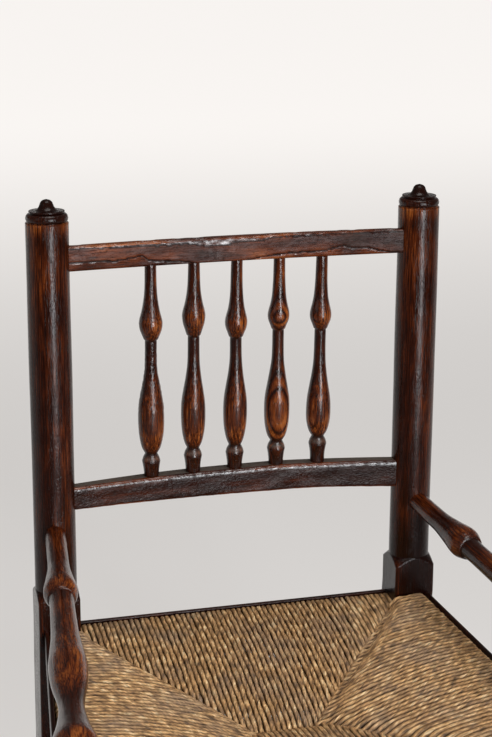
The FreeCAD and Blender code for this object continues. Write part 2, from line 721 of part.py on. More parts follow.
def seat_rail(name):
    """A hidden rail with eased edges, a round tenon at each end and its nail holes."""
    high = strip_top(name) + RUSH_ABOVE_STRIP - RUSH_COAT
    low = high - SEAT_RAIL_HEIGHT
    inset = SEAT_RAIL_IN - SEAT_RAIL_WIDTH / 2
    body = bar(name, inset, SEAT_RAIL_WIDTH, low, high, SEAT_RAIL_EDGE_RADIUS, low - 1)
    start, end = rail_tenon(name)
    return body.fuse(rod(start, end, SEAT_TENON_RADIUS)).removeSplitter()


def edge_strip(name):
    """A thin strip that guards the outer face of the rush, rounded along its top."""
    high = strip_top(name)
    return bar(name, -STRIP_OUT, STRIP_THICKNESS, high - STRIP_HEIGHT, high, STRIP_EDGE_RADIUS, high - 1)


def drilled(shape, name):
    return shape.cut(Part.makeCompound(nails(name, JOINT_CLEARANCE)))


def edge_strip_nails():
    return Part.makeCompound([nail for name in SEAT_SIDES for nail in nails(name, 0)])


# Rush seat

def panel_outline(name):
    """The plan of one rush panel: its outer edge, the corners of the post blocks and the
    end points at the middle seam, each as a pair of points."""
    off = BLOCK_HALF + RUSH_GAP
    seam = MIDDLE_SEAM_LENGTH / 2
    middle_y = -SEAT_DEPTH / 2
    gap = RUSH_GAP
    if name in SIDES:
        side = SIDES[name]
        back_out = side * (BACK_HALF + RUSH_OUT / math.cos(FLARE) + off * math.tan(FLARE))
        front_out = side * (FRONT_HALF + RUSH_OUT / math.cos(FLARE) - off * math.tan(FLARE))
        outer = (Vector(back_out, -off, 0), Vector(front_out, -SEAT_DEPTH + off, 0))
        corner = (
            Vector(side * (BACK_HALF - BLOCK_HALF + gap), -off, 0),
            Vector(side * (FRONT_HALF - BLOCK_HALF + gap), -SEAT_DEPTH + off, 0),
        )
        inner_x = side * (seam + gap)
        inner = (Vector(inner_x, middle_y + gap, 0), Vector(inner_x, middle_y - gap, 0))
        return outer, corner, inner
    is_back = name == "back"
    half = (BACK_HALF if is_back else FRONT_HALF) - off
    outer_y = RUSH_OUT if is_back else -SEAT_DEPTH - RUSH_OUT
    corner_y = -off if is_back else -SEAT_DEPTH + off
    inner_y = middle_y + gap if is_back else middle_y - gap
    outer = (Vector(-half, outer_y, 0), Vector(half, outer_y, 0))
    corner = (Vector(-half, corner_y, 0), Vector(half, corner_y, 0))
    inner = (Vector(-seam + gap, inner_y, 0), Vector(seam - gap, inner_y, 0))
    return outer, corner, inner


def panel_section(pair, low, seam, top):
    """An upright slice through a panel: flat below, with rounded shoulders and a low crown."""
    a, b = pair
    width = (b - a).Length
    reach = (b - a).normalize()
    run = min(PANEL_SHOULDER_RUN, 0.3 * width)
    crown = PANEL_CROWN * min(1.0, width / BACK_SPACING)

    def at(distance, height):
        return a + reach * distance + Vector(0, 0, height)

    rise = top - seam
    points = [
        at(0, seam),
        at(0.3 * run, seam + 0.62 * rise),
        at(run, top),
        at(width / 2, top + crown),
        at(width - run, top),
        at(width - 0.3 * run, seam + 0.62 * rise),
        at(width, seam),
    ]
    arcs = [Part.Arc(points[i], points[i + 1], points[i + 2]).toShape() for i in (0, 2, 4)]
    left_foot = at(0, low)
    right_foot = at(width, low)
    edges = [Part.makeLine(left_foot, points[0])] + arcs
    edges += [Part.makeLine(points[6], right_foot), Part.makeLine(right_foot, left_foot)]
    return Part.Wire(edges)


def rush_panel(name):
    """One of the four parts of the woven seat. It wraps its rail, swells over it and sags
    towards the middle, where the four parts meet in seams."""
    outer, corner, inner = panel_outline(name)
    top = strip_top(name) + RUSH_ABOVE_STRIP
    low = top - SEAT_RAIL_HEIGHT - 2 * RUSH_COAT
    corner_seam = SEAT_HEIGHT - CORNER_SEAM_DROP
    middle_seam = SEAT_HEIGHT - MIDDLE_SEAM_DROP
    underside = SEAT_HEIGHT - MIDDLE_UNDERSIDE_DROP
    sections = []
    depth = (outer[0] - corner[0]).Length
    for degrees in (0, 30, 60, 90):
        turn = math.radians(degrees)
        inset = RUSH_ROUNDING * (1 - math.cos(turn))
        drop = RUSH_ROUNDING * (1 - math.sin(turn))
        pair = [lerp(o, c, inset / depth) for o, c in zip(outer, corner)]
        end_drop = PANEL_END_RISE + drop
        sections.append(panel_section(pair, low + drop, top - end_drop, top - drop))
    for step in range(SAG_STEPS + 1):
        share = step / SAG_STEPS
        sag = share ** SAG_EXPONENT
        pair = [lerp(c, i, share) for c, i in zip(corner, inner)]
        seam = lerp(min(corner_seam, top - PANEL_END_RISE), middle_seam, sag)
        level = lerp(top, middle_seam + 1, sag)
        sections.append(panel_section(pair, lerp(low, underside, share), seam, level))
    panel = Part.makeLoft(sections, True, True)
    rail_low = low + RUSH_COAT - RUSH_GAP
    rail_high = top - RUSH_COAT + RUSH_GAP
    inset = SEAT_RAIL_IN - SEAT_RAIL_WIDTH / 2 - RUSH_GAP
    return panel.cut(long_block(name, inset, SEAT_RAIL_WIDTH + 2 * RUSH_GAP, rail_low, rail_high))


# Every piece by its node name

def all_pieces():
    pieces = {}
    for side_name, side in SIDES.items():
        pieces["back_post_" + side_name] = back_post(side)
        pieces["front_post_" + side_name] = front_post(side)
        pieces["arm_" + side_name] = arm(side)
    pieces["top_rail"] = drilled_rail("top")
    pieces["lower_back_rail"] = drilled_rail("lower")
    for index in range(SPINDLE_COUNT):
        pieces["spindle_%d" % (index + 1)] = spindle(index)
    for name in STRETCHERS:
        node = name + "_stretcher" if name in ("front", "back") else "side_stretcher_" + name
        pieces[node] = stretcher(name)
    for name in SEAT_SIDES:
        pieces["seat_rail_" + name] = drilled(seat_rail(name), name)
        pieces["edge_strip_" + name] = drilled(edge_strip(name), name)
        pieces["rush_panel_" + name] = drilled(rush_panel(name), name)
    pieces["edge_strip_nails"] = edge_strip_nails()
    return pieces


def centred(pieces):
    """Moves the whole chair so that the origin is on the floor at the middle of its box."""
    box = FreeCAD.BoundBox()
    for shape in pieces.values():
        box.add(shape.optimalBoundingBox(True, False))
    shift = Vector(-box.Center.x, -box.Center.y, -box.ZMin)
    for shape in pieces.values():
        shape.translate(shift)
    return shift


pieces = all_pieces()
shift = centred(pieces)
os.makedirs("parts", exist_ok=True)
for node, shape in pieces.items():
    shape.exportStep("parts/" + node + ".step")
print("nodes", len(pieces), "moved by %.3f %.3f %.3f" % (shift.x, shift.y, shift.z))
for node, shape in pieces.items():
    print(node, len(shape.Solids), "solids", shape.isValid(), "%.0f mm3" % shape.Volume)
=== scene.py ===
import math

import bmesh
import bpy
from mathutils import Matrix, Vector, geometry, noise


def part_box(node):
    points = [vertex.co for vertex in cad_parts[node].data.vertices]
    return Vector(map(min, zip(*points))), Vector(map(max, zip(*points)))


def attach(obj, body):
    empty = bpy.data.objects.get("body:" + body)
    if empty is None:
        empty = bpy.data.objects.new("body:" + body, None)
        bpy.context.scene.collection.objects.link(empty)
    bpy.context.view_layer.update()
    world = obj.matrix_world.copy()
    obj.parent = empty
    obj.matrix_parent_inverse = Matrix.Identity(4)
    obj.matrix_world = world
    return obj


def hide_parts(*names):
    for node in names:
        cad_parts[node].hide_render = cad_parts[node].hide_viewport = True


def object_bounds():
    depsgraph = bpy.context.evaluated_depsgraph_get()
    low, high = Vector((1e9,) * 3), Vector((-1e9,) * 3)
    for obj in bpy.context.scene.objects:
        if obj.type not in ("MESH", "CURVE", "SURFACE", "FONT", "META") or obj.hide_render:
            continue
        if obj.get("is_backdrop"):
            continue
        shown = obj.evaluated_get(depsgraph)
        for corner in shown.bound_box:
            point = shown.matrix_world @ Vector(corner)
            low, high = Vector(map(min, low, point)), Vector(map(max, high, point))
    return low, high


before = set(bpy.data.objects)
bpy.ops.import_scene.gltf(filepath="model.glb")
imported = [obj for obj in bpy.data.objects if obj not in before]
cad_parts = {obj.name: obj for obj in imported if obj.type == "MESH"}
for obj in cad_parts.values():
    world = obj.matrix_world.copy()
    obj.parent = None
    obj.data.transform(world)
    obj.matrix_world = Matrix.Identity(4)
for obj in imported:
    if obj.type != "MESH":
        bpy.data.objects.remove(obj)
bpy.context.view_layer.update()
scene = bpy.context.scene
scene.view_settings.view_transform = "Standard"

# Camera
# It stands in front of the chair, a little to the left and above the arms, and looks down
# at the back and the rear half of the seat. The place and turn were solved from the photograph.
camera = bpy.data.objects.new("camera", bpy.data.cameras.new("camera"))
scene.collection.objects.link(camera)
camera_right = Vector((0.96351806, -0.26540752, 0.03452253))
camera_up = Vector((0.06577203, 0.35983344, 0.93069541))
camera_ahead = Vector((0.25943592, 0.89447121, -0.3641624))
camera_turn = Matrix((camera_right, camera_up, -camera_ahead)).transposed().to_4x4()
camera.matrix_world = Matrix.Translation((-0.50036, -1.53460, 1.43975)) @ camera_turn
camera.data.sensor_width = 36.0
camera.data.lens = 83.965
scene.camera = camera


# Floor and light
# A pale floor whose painted glow is off in front of the chair and grows brighter far behind it,
# a dim even surround, one tall soft window in front of the chair and two weaker lights at the left and
# overhead.
WINDOW_COLOUR = (0.94, 0.97, 1.0)
LEFT_COLOUR = (1.0, 0.98, 0.95)
OVERHEAD_COLOUR = (1.0, 0.97, 0.94)
SURROUND_COLOUR = (1.0, 0.975, 0.95, 1)
FILL_STRENGTH = 0.05
WALL_STRENGTH = 0.15
FLOOR_TONES = ((0.0, (0.36, 0.35, 0.34, 1)), (1.0, (0.39, 0.38, 0.37, 1)))
FLOOR_GLOW = (1.0, 0.966, 0.938, 1)
FLOOR_HALF = 20.0


def add(tree, kind, inputs=None, **settings):
    """A new shader node with its settings, and its inputs linked or set."""
    made = tree.nodes.new("ShaderNode" + kind)
    for name, value in settings.items():
        setattr(made, name, value)
    for name, value in (inputs or {}).items():
        if isinstance(value, bpy.types.NodeSocket):
            tree.links.new(value, made.inputs[name])
        else:
            made.inputs[name].default_value = value
    return made


def ramp(tree, value, stops):
    """The colour that a ramp of (place, colour) stops gives to a value."""
    made = add(tree, "ValToRGB", {"Fac": value})
    elements = made.color_ramp.elements
    elements[0].position, elements[0].color = stops[0]
    elements[1].position, elements[1].color = stops[-1]
    for place, colour in stops[1:-1]:
        elements.new(place).color = colour
    return made.outputs["Color"]


def new_finish(name):
    """An empty material and its node tree."""
    finish = bpy.data.materials.new(name)
    finish.use_nodes = True
    finish.node_tree.nodes.clear()
    return finish, finish.node_tree


def lamp(name, place, aim, wide, high, watts, colour):
    """A soft rectangular lamp at a place, turned to an aim."""
    data = bpy.data.lights.new(name, "AREA")
    data.shape = "RECTANGLE"
    data.size = wide
    data.size_y = high
    data.energy = watts
    data.color = colour
    made = bpy.data.objects.new(name, data)
    scene.collection.objects.link(made)
    made.location = place
    made.rotation_euler = (Vector(aim) - Vector(place)).to_track_quat("-Z", "Y").to_euler()


def backdrop_share(tree):
    """1 where the camera, a reflection or a clear thing looks, and 0 for the light itself."""
    path = add(tree, "LightPath").outputs
    inputs = {0: path["Is Camera Ray"], 1: path["Is Glossy Ray"]}
    seen = add(tree, "Math", inputs, operation="ADD").outputs[0]
    inputs = {0: seen, 1: path["Is Transmission Ray"]}
    return add(tree, "Math", inputs, operation="ADD", use_clamp=True).outputs[0]


lamp("front_window", (0.65, -3.4, 1.35), (0, 0, 0.75), 1.0, 2.6, 125, WINDOW_COLOUR)
lamp("left_window", (-2.6, -0.9, 1.9), (0, 0, 0.6), 1.4, 1.6, 4, LEFT_COLOUR)
lamp("overhead", (0.1, -0.1, 3.2), (0, 0, 0.5), 1.3, 1.3, 30, OVERHEAD_COLOUR)

world = bpy.data.worlds.new("surround")
world.use_nodes = True
tree = world.node_tree
tree.nodes.clear()
fill_light = add(tree, "Background", {"Color": SURROUND_COLOUR, "Strength": FILL_STRENGTH}).outputs[0]
seen_wall = add(tree, "Background", {"Color": SURROUND_COLOUR, "Strength": WALL_STRENGTH}).outputs[0]
surround = add(tree, "MixShader", {0: backdrop_share(tree), 1: fill_light, 2: seen_wall})
add(tree, "OutputWorld", {"Surface": surround.outputs[0]})
scene.world = world

floor_finish, tree = new_finish("pale_floor")
place = add(tree, "TexCoord").outputs["Object"]
mottle = add(tree, "TexNoise", {"Vector": place, "Scale": 1.3, "Detail": 3.0}).outputs["Fac"]
shade = add(tree, "BsdfPrincipled", {"Base Color": ramp(tree, mottle, FLOOR_TONES), "Roughness": 0.9})
# Painted light: the floor's glow, seen by the camera and in reflections, is off in front of the chair and
# rises to its brightest far behind it.
away = add(tree, "SeparateXYZ", {"Vector": place}).outputs["Y"]
inputs = {"Value": away, "From Min": 1.4, "From Max": 4.5, "To Min": 0.50, "To Max": 0.90}
far_glow = add(tree, "MapRange", inputs, interpolation_type="SMOOTHSTEP").outputs["Result"]
inputs = {"Value": away, "From Min": -1.2, "From Max": 0.5}
behind = add(tree, "MapRange", inputs, interpolation_type="SMOOTHSTEP").outputs["Result"]
pale = add(tree, "Math", {0: far_glow, 1: behind}, operation="MULTIPLY").outputs[0]
glow_strength = add(tree, "Math", {0: backdrop_share(tree), 1: pale}, operation="MULTIPLY").outputs[0]
glow = add(tree, "Emission", {"Color": FLOOR_GLOW, "Strength": glow_strength})
lit_floor = add(tree, "AddShader", {0: shade.outputs[0], 1: glow.outputs[0]})
add(tree, "OutputMaterial", {"Surface": lit_floor.outputs[0]})
bm = bmesh.new()
bmesh.ops.create_grid(bm, x_segments=1, y_segments=1, size=FLOOR_HALF)
floor_mesh = bpy.data.meshes.new("floor")
bm.to_mesh(floor_mesh)
bm.free()
floor_mesh.materials.append(floor_finish)
floor = bpy.data.objects.new("floor", floor_mesh)
scene.collection.objects.link(floor)
floor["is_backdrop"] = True


# Back posts
# Each is one piece of wood: a square leg that tapers to the floor, a square block at the seat
# with shoulders cut on the lathe, a leaning round post, and a finial of groove, ring, dish
# and button. Lengths in this file are in millimetres until a piece is finished.
MM = 0.001
SEAT = 440.0
BLOCK_HALF = 24.0
FOOT_HALF = 20.0
BACK_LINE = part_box("back_post_left")[0].y / MM + BLOCK_HALF
BACK_HALF = 215.0
FRONT_HALF = 270.0
SEAT_DEPTH = 430.0
LEAN = math.radians(6.5)
POST_RADIUS = 23.8
BLOCK_TOP = 30.0
BLOCK_FOOT = -60.0
SHOULDER = 13.0
SIDES = {"left": -1, "right": 1}
# Where the points of a square's flat side lie, from its middle to its eased corner
CORNER_STOPS = (0.0, 4.5, 9.0, 13.0, 16.5, 19.5, 22.0)
CORNER_EASE = 2.0


def clamped(value):
    """The value held between 0 and 1."""
    return min(1.0, max(0.0, value))


def uneven(x, y, z):
    """Smooth noise between -1 and 1 at a place."""
    return noise.noise(Vector((x, y, z)))


def outline(stretches, step):
    """The lathe's line as (distance, radius) points. A stretch of two stops is straight and
    one of more is a smooth curve. Sharp corners are eased by half a millimetre."""
    line = []
    for stretch in stretches:
        stops = [Vector(stop) for stop in stretch]
        last = len(stops) - 1
        slopes = []
        for i in range(last + 1):
            span = stops[min(i + 1, last)] - stops[max(i - 1, 0)]
            slopes.append(span / span.x)
        for i in range(last):
            third = (stops[i + 1].x - stops[i].x) / 3
            count = max(2, round(3 * third / step) + 1)
            first_handle = stops[i] + slopes[i] * third
            last_handle = stops[i + 1] - slopes[i + 1] * third
            curve = geometry.interpolate_bezier(stops[i], first_handle, last_handle, stops[i + 1], count)
            line += curve[:-1]
        line.append(stops[-1])
    eased = [line[0]]
    for before, here, after in zip(line, line[1:], line[2:]):
        back, on = before - here, after - here
        if back.length < 1e-4 or on.length < 1e-4:
            continue
        if abs(math.pi - back.angle(on)) > 0.45:
            eased.append(here + back.normalized() * min(0.5, back.length * 0.45))
            eased.append(here + on.normalized() * min(0.5, on.length * 0.45))
        else:
            eased.append(here)
    return eased + [line[-1]]


def spun(line, around):
    """A closed lathe form about Z."""
    bm = bmesh.new()
    ends = [Vector((line[0].x, 0))] + line + [Vector((line[-1].x, 0))]
    verts = [bm.verts.new((point.y, 0, point.x)) for point in ends]
    edges = [bm.edges.new(pair) for pair in zip(verts, verts[1:])]
    bmesh.ops.spin(
        bm,
        geom=verts + edges,
        cent=(0, 0, 0),
        axis=(0, 0, 1),
        angle=math.tau,
        steps=around,
        use_merge=True,
    )
    bmesh.ops.remove_doubles(bm, verts=bm.verts, dist=0.001)
    bmesh.ops.recalc_face_normals(bm, faces=bm.faces)
    return bm


def square_point(turn, half):
    """Where a vertex at that angle goes on a square with eased corners."""
    quarter = round(turn / (math.pi / 2))
    off = turn - quarter * math.pi / 2
    stop = abs(off) / (math.pi / 4) * 8
    flat = half - CORNER_EASE
    if stop <= 6.001:
        low = min(int(stop), 5)
        along = CORNER_STOPS[low] + (CORNER_STOPS[low + 1] - CORNER_STOPS[low]) * (stop - low)
        point = Vector((half, math.copysign(along * flat / CORNER_STOPS[-1], off)))
    else:
        bend = (stop - 6) * math.pi / 8
        bulge = CORNER_EASE * Vector((math.cos(bend), math.sin(bend)))
        point = Vector((flat + bulge.x, math.copysign(flat + bulge.y, off)))
    return Matrix.Rotation(quarter * math.pi / 2, 2) @ point


def squared(bm, low, high, half_at, low_shoulder=0.0, radius=POST_RADIUS):
    """Squares a lathe form between two heights, with the cone of the lathe at its ends."""
    corner = BLOCK_HALF * math.sqrt(2) + 1
    for vert in bm.verts:
        spread = vert.co.xy.length
        height = vert.co.z
        if spread < 1e-4 or not low - low_shoulder <= height <= high + SHOULDER:
            continue
        point = square_point(math.atan2(vert.co.y, vert.co.x), half_at(height))
        over = max(0.0, height - high) / SHOULDER
        cone = corner + (radius - 1 - corner) * over
        if low_shoulder:
            under = max(0.0, low - height) / low_shoulder
            cone = min(cone, corner + (radius - 4 - corner) * under)
        cone = max(cone, spread)
        vert.co.xy = point * min(1.0, cone / point.length)


def weathered(bm, depth, size, seed):
    """Small unevenness of hand work: every point moves a little along its normal."""
    bm.normal_update()
    moves = []
    for vert in bm.verts:
        spot = Vector((vert.co.x / size, vert.co.y / size, vert.co.z / (size * 2.2)))
        moves.append((vert, vert.normal * noise.noise(spot + Vector((seed, 0, 0))) * depth))
    for vert, move in moves:
        vert.co += move


def mark_rubbed(bm, reach=28.0, gain=0.11):
    """Stores how far each point of a lathe form stands out, where hands have rubbed it."""
    layer = bm.verts.layers.float.new("rubbed")
    rings = {}
    for vert in bm.verts:
        if vert.co.xy.length > 1e-3:
            rings.setdefault(round(vert.co.z / 2), []).append(vert.co.xy.length)
    spread = {height: sum(found) / len(found) for height, found in rings.items()}
    window = round(reach / 2)
    middle = {}
    for height in spread:
        near = [spread[h] for h in range(height - window, height + window + 1) if h in spread]
        middle[height] = sum(near) / len(near)
    for vert in bm.verts:
        usual = middle.get(round(vert.co.z / 2), vert.co.xy.length)
        vert[layer] = clamped(0.5 + (vert.co.xy.length - usual) * gain)


POLISH_TONES = (
    (0.0, (0.0065, 0.0012, 0.0006, 1)),
    (0.25, (0.022, 0.0040, 0.0014, 1)),
    (0.45, (0.062, 0.0115, 0.0030, 1)),
    (0.68, (0.155, 0.032, 0.0060, 1)),
    (1.0, (0.36, 0.100, 0.018, 1)),
)
RING_LEVELS = ((0.0, 0.25), (0.10, 0.0), (0.30, 0.55), (0.62, 1.0), (0.84, 0.80), (1.0, 0.40))
PORE_COLOUR = (0.0045, 0.0015, 0.001, 1)
DUST_COLOUR = (0.135, 0.108, 0.088, 1)


def wood_finish(
    name,
    start,
    end,
    ring=3.2,
    pith=(38.0, 21.0),
    warmth=1.0,
    polish=0.25,
    figure=0.4,
    pitted=0.0,
    lively=1.0,
    gloss=0.45,
    glints=False,
):
    """Old dark polish over wood whose grain runs from start to end, in millimetres. The
    growth rings lie round a pith line beside the piece, so swellings show eyes and tongues.
    With glints, the piece's own "shine" marks its hard, bright edges."""
    finish, tree = new_finish(name)
    grain = (Vector(end) - Vector(start)).normalized()
    turn = Vector((0, 0, 1)).rotation_difference(grain).to_euler()
    here = add(
        tree,
        "Mapping",
        {
            "Vector": add(tree, "TexCoord").outputs["Object"],
            "Location": Vector(start) * MM,
            "Rotation": turn,
            "Scale": (MM, MM, MM),
        },
        vector_type="TEXTURE",
    ).outputs[0]

    def moved_on(vector, scale, shift):
        inputs = {0: vector, 1: scale, 2: shift}
        return add(tree, "VectorMath", inputs, operation="MULTIPLY_ADD").outputs[0]

    def noise_at(scale, detail=2.0, rough=0.5, shift=0.0):
        """Noise whose scale is in turns for each millimetre, across and along the grain."""
        spot = moved_on(here, scale, (shift, shift, shift))
        inputs = {"Vector": spot, "Scale": 1.0, "Detail": detail, "Roughness": rough}
        return add(tree, "TexNoise", inputs)

    def ranged(value, low, high, to_low=0.0, to_high=1.0):
        inputs = {"Value": value, "From Min": low, "From Max": high, "To Min": to_low, "To Max": to_high}
        return add(tree, "MapRange", inputs).outputs["Result"]

    def maths(how, a, b=0.0, c=0.0):
        return add(tree, "Math", {0: a, 1: b, 2: c}, operation=how).outputs[0]

    def mixed(share, a, b):
        return add(tree, "Mix", {0: share, 6: a, 7: b}, data_type="RGBA").outputs[2]

    wander = noise_at((0.02, 0.02, 0.006), 2.0, 0.5, 11.0).outputs["Color"]
    bent = moved_on(wander, (6.0, 6.0, 0.0), here)
    flat = moved_on(bent, (1.0, 1.0, 0.0), (pith[0], pith[1], 0.0))
    far = add(tree, "VectorMath", {0: flat}, operation="LENGTH").outputs["Value"]
    ring_share = maths("FRACT", maths("DIVIDE", far, ring))
    rings = ramp(tree, ring_share, [(place, (level, level, level, 1)) for place, level in RING_LEVELS])
    fibre = ranged(noise_at((1.1, 1.1, 0.035), 4.0, 0.66).outputs["Fac"], 0.36, 0.66)
    streaks = ranged(noise_at((0.32, 0.32, 0.014), 3.0, 0.6, 17.0).outputs["Fac"], 0.34, 0.66)
    pores = ranged(noise_at((1.5, 1.5, 0.05), 2.0, 0.5, 5.0).outputs["Fac"], 0.56, 0.64)
    patina = noise_at((0.03, 0.03, 0.012), 3.0, 0.6, 23.0).outputs["Fac"]
    specks = ranged(noise_at((0.45, 0.45, 0.30), 3.0, 0.6, 61.0).outputs["Fac"], 0.60, 0.70)
    rubbed = add(tree, "Attribute", attribute_name="rubbed").outputs["Fac"]
    dust = add(tree, "Attribute", attribute_name="dust").outputs["Fac"]
    lines = maths("MULTIPLY_ADD", streaks, 0.28 * lively, 0.5 - 0.5 * lively)
    lines = maths("MULTIPLY_ADD", fibre, 0.72 * lively, lines)
    drawn = maths("MULTIPLY_ADD", rings, figure, maths("MULTIPLY", lines, 1.0 - figure))
    worn = maths("MULTIPLY", ranged(rubbed, 0.1, 0.9, 0.22, 1.6), ranged(patina, 0.34, 0.62, 0.5, 1.15))
    tone = ramp(tree, maths("MULTIPLY", maths("MULTIPLY", drawn, worn), warmth), POLISH_TONES)
    colour = mixed(maths("MULTIPLY", maths("MAXIMUM", pores, specks), 0.72), tone, PORE_COLOUR)
    grime = noise_at((0.25, 0.25, 0.25), 4.0, 0.65, 71.0).outputs["Fac"]
    dusty = maths("MULTIPLY", dust, ranged(grime, 0.3, 0.62, 0.55, 1.0))
    colour = mixed(dusty, colour, DUST_COLOUR)
    dents = noise_at((0.11, 0.11, 0.045), 3.0, 0.6, 31.0).outputs["Fac"]
    peel = noise_at((0.50, 0.50, 0.30), 2.0, 0.5, 37.0).outputs["Fac"]
    height = maths("MULTIPLY_ADD", fibre, 0.05, dents)
    height = maths("MULTIPLY_ADD", pores, -0.12, height)
    height = maths("MULTIPLY_ADD", peel, 0.65 + pitted, height)
    height = maths("MULTIPLY_ADD", specks, -0.25, height)
    bump = add(tree, "Bump", {"Height": height, "Strength": 0.5, "Distance": 0.0007}).outputs["Normal"]
    scuffs = noise_at((0.07, 0.07, 0.035), 4.0, 0.6, 47.0).outputs["Fac"]
    scuffed = ranged(scuffs, 0.35, 0.7, polish - 0.05, polish + 0.08)
    roughness = maths("MULTIPLY_ADD", pores, 0.10, scuffed)
    roughness = maths("MULTIPLY_ADD", dusty, 0.4, roughness)
    sheen = gloss
    if glints:
        shine = add(tree, "Attribute", attribute_name="shine").outputs["Fac"]
        roughness = maths("MULTIPLY", roughness, ranged(shine, 0.0, 1.0, 1.0, 0.4))
        sheen = ranged(shine, 0.0, 1.0, gloss, 1.0)
    shade = add(
        tree,
        "BsdfPrincipled",
        {
            "Base Color": colour,
            "Roughness": roughness,
            "Specular IOR Level": sheen,
            "Normal": bump,
        },
    )
    add(tree, "OutputMaterial", {"Surface": shade.outputs["BSDF"]})
    return finish


def finished(bm, name, finish, slot, *nodes):
    """The piece itself, in metres, in place of its CAD nodes."""
    bm.transform(Matrix.Scale(MM, 4))
    mesh = bpy.data.meshes.new(name)
    bm.to_mesh(mesh)
    bm.free()
    mesh.shade_smooth()
    mesh.materials.append(finish)
    piece = bpy.data.objects.new(name, mesh)
    scene.collection.objects.link(piece)
    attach(piece, "root")
    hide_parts(*nodes)


def leaned(bm):
    """Leans everything above the seat line back, with an eased bend."""
    for vert in bm.verts:
        share = clamped((vert.co.z + 6) / 12)
        vert.co = Matrix.Rotation(-LEAN * share, 3, "X") @ vert.co


POST_TOP = 465.0
FINIAL = [
    [(POST_TOP + rise, radius) for rise, radius in stretch]
    for stretch in (
        ((0.0, 21.9), (1.3, 21.9)),
        ((1.3, 22.2), (3.0, 23.1), (5.4, 23.4), (8.2, 22.5), (10.0, 20.4)),
        ((10.0, 18.6), (10.8, 18.6)),
        ((10.8, 19.4), (12.8, 19.9)),
        ((12.8, 18.9), (13.3, 12.4)),
        ((13.3, 11.8), (14.6, 10.4), (16.8, 8.6), (19.6, 7.5), (22.2, 6.5), (24.2, 4.3), (25.2, 0.6)),
    )
]

post_line = outline([[(-SEAT, FOOT_HALF), (-7.0, BLOCK_HALF)]], 12.0)
post_line += outline([[(-6.0, BLOCK_HALF), (BLOCK_TOP, BLOCK_HALF)]], 6.0)
post_line += outline([[(BLOCK_TOP + 0.6, 23.8), (BLOCK_TOP + SHOULDER + 1, POST_RADIUS)]], 0.7)
post_line += outline([[(BLOCK_TOP + SHOULDER + 3, POST_RADIUS), (POST_TOP, POST_RADIUS)]] + FINIAL, 3.0)


def leg_half(up):
    """Half the width of a back leg at a height from the seat line."""
    share = clamped((BLOCK_FOOT - up) / (SEAT + BLOCK_FOOT))
    return BLOCK_HALF - (BLOCK_HALF - FOOT_HALF) * share


for side_name, side in SIDES.items():
    bm = spun(post_line, 64)
    squared(bm, -SEAT - 1, BLOCK_TOP, leg_half)
    mark_rubbed(bm)
    rubbed = bm.verts.layers.float["rubbed"]
    # The finial is darkened. Below the arms' height the post darkens, and it is darkest from a little
    # above the seat to the floor.
    for vert in bm.verts:
        if vert.co.z > POST_TOP + 1:
            vert[rubbed] *= 0.35
        else:
            vert[rubbed] *= min(1.0, max(0.4, vert.co.z / 110))
    weathered(bm, 0.55, 55.0, side * 3.1)
    leaned(bm)
    foot = Vector((side * BACK_HALF, BACK_LINE, SEAT))
    bmesh.ops.translate(bm, vec=foot, verts=bm.verts)
    lean_end = foot + Vector((0, math.sin(LEAN), math.cos(LEAN))) * 400
    finish = wood_finish(
        "polished_back_post_" + side_name,
        foot,
        lean_end,
        ring=3.4,
        pith=(46.0 * side, 30.0),
        warmth=0.95,
        polish=0.15,
        figure=0.12,
        gloss=0.22,
    )
    finished(bm, "turned_back_post_" + side_name, finish, "dark_wood", "back_post_" + side_name)


# Back rails
# Two bars of the same wood, sawn and hewn to a bow, with eased and worn edges. Their ends
# are let into the posts. The lower one is thicker in its middle, and dust dulls its top.
RAIL_END = BACK_HALF - POST_RADIUS + 19.0
TOP_RAIL_UP = 411.6
TOP_RAIL_HEIGHT = 27.6
LOWER_RAIL_UP = 133.0
LOWER_RAIL_HEIGHT = 31.0
# Where the front face lies at the posts, the thickness there, and the bows of the front and back faces
TOP_RAIL_PLAN = (-11.0, 12.0, 8.0, 12.0)
LOWER_RAIL_PLAN = (-10.5, 16.0, 12.5, 19.5)
# Where the hewn facets of the top rail's front meet, in heights above its foot
LOW_FACET = (
    (-167, 9.7),
    (-140, 8.6),
    (-117, 11.7),
    (-111, 13.1),
    (-103.5, 6.6),
    (-73, 4.1),
    (-57, 2.1),
    (-48, 0),
    (8, 0),
    (18, 1.7),
    (38, 4.4),
    (64, 6.2),
    (99, 6.4),
    (112, 9.4),
    (123, 11.7),
    (133, 8.8),
    (153, 7.7),
    (166, 4.1),
    (182, 1.3),
)
TOP_FACET = (
    (-190, 25.8),
    (-112, 24.4),
    (-90, 23.6),
    (-61, 24.0),
    (-39, 20.8),
    (-14, 19.7),
    (-6, 22.7),
    (28, 23.1),
    (40, 26.4),
)
# How far the lower rail's foot and top rise or fall along its length
FOOT_LINE = ((-190, 2.2), (0, 1.1), (100, 1.0), (190, -3.5))
CROWN_LINE = ((-190, -2.5), (-100, -0.8), (-50, -0.2), (0, 0.1), (50, 0.8), (100, -0.1), (190, -1.8))


def placed_back(bm):
    """Takes a form from the upright plane of the back to its leaning place."""
    place = Matrix.Translation((0, BACK_LINE, SEAT)) @ Matrix.Rotation(-LEAN, 4, "X")
    bm.transform(place)


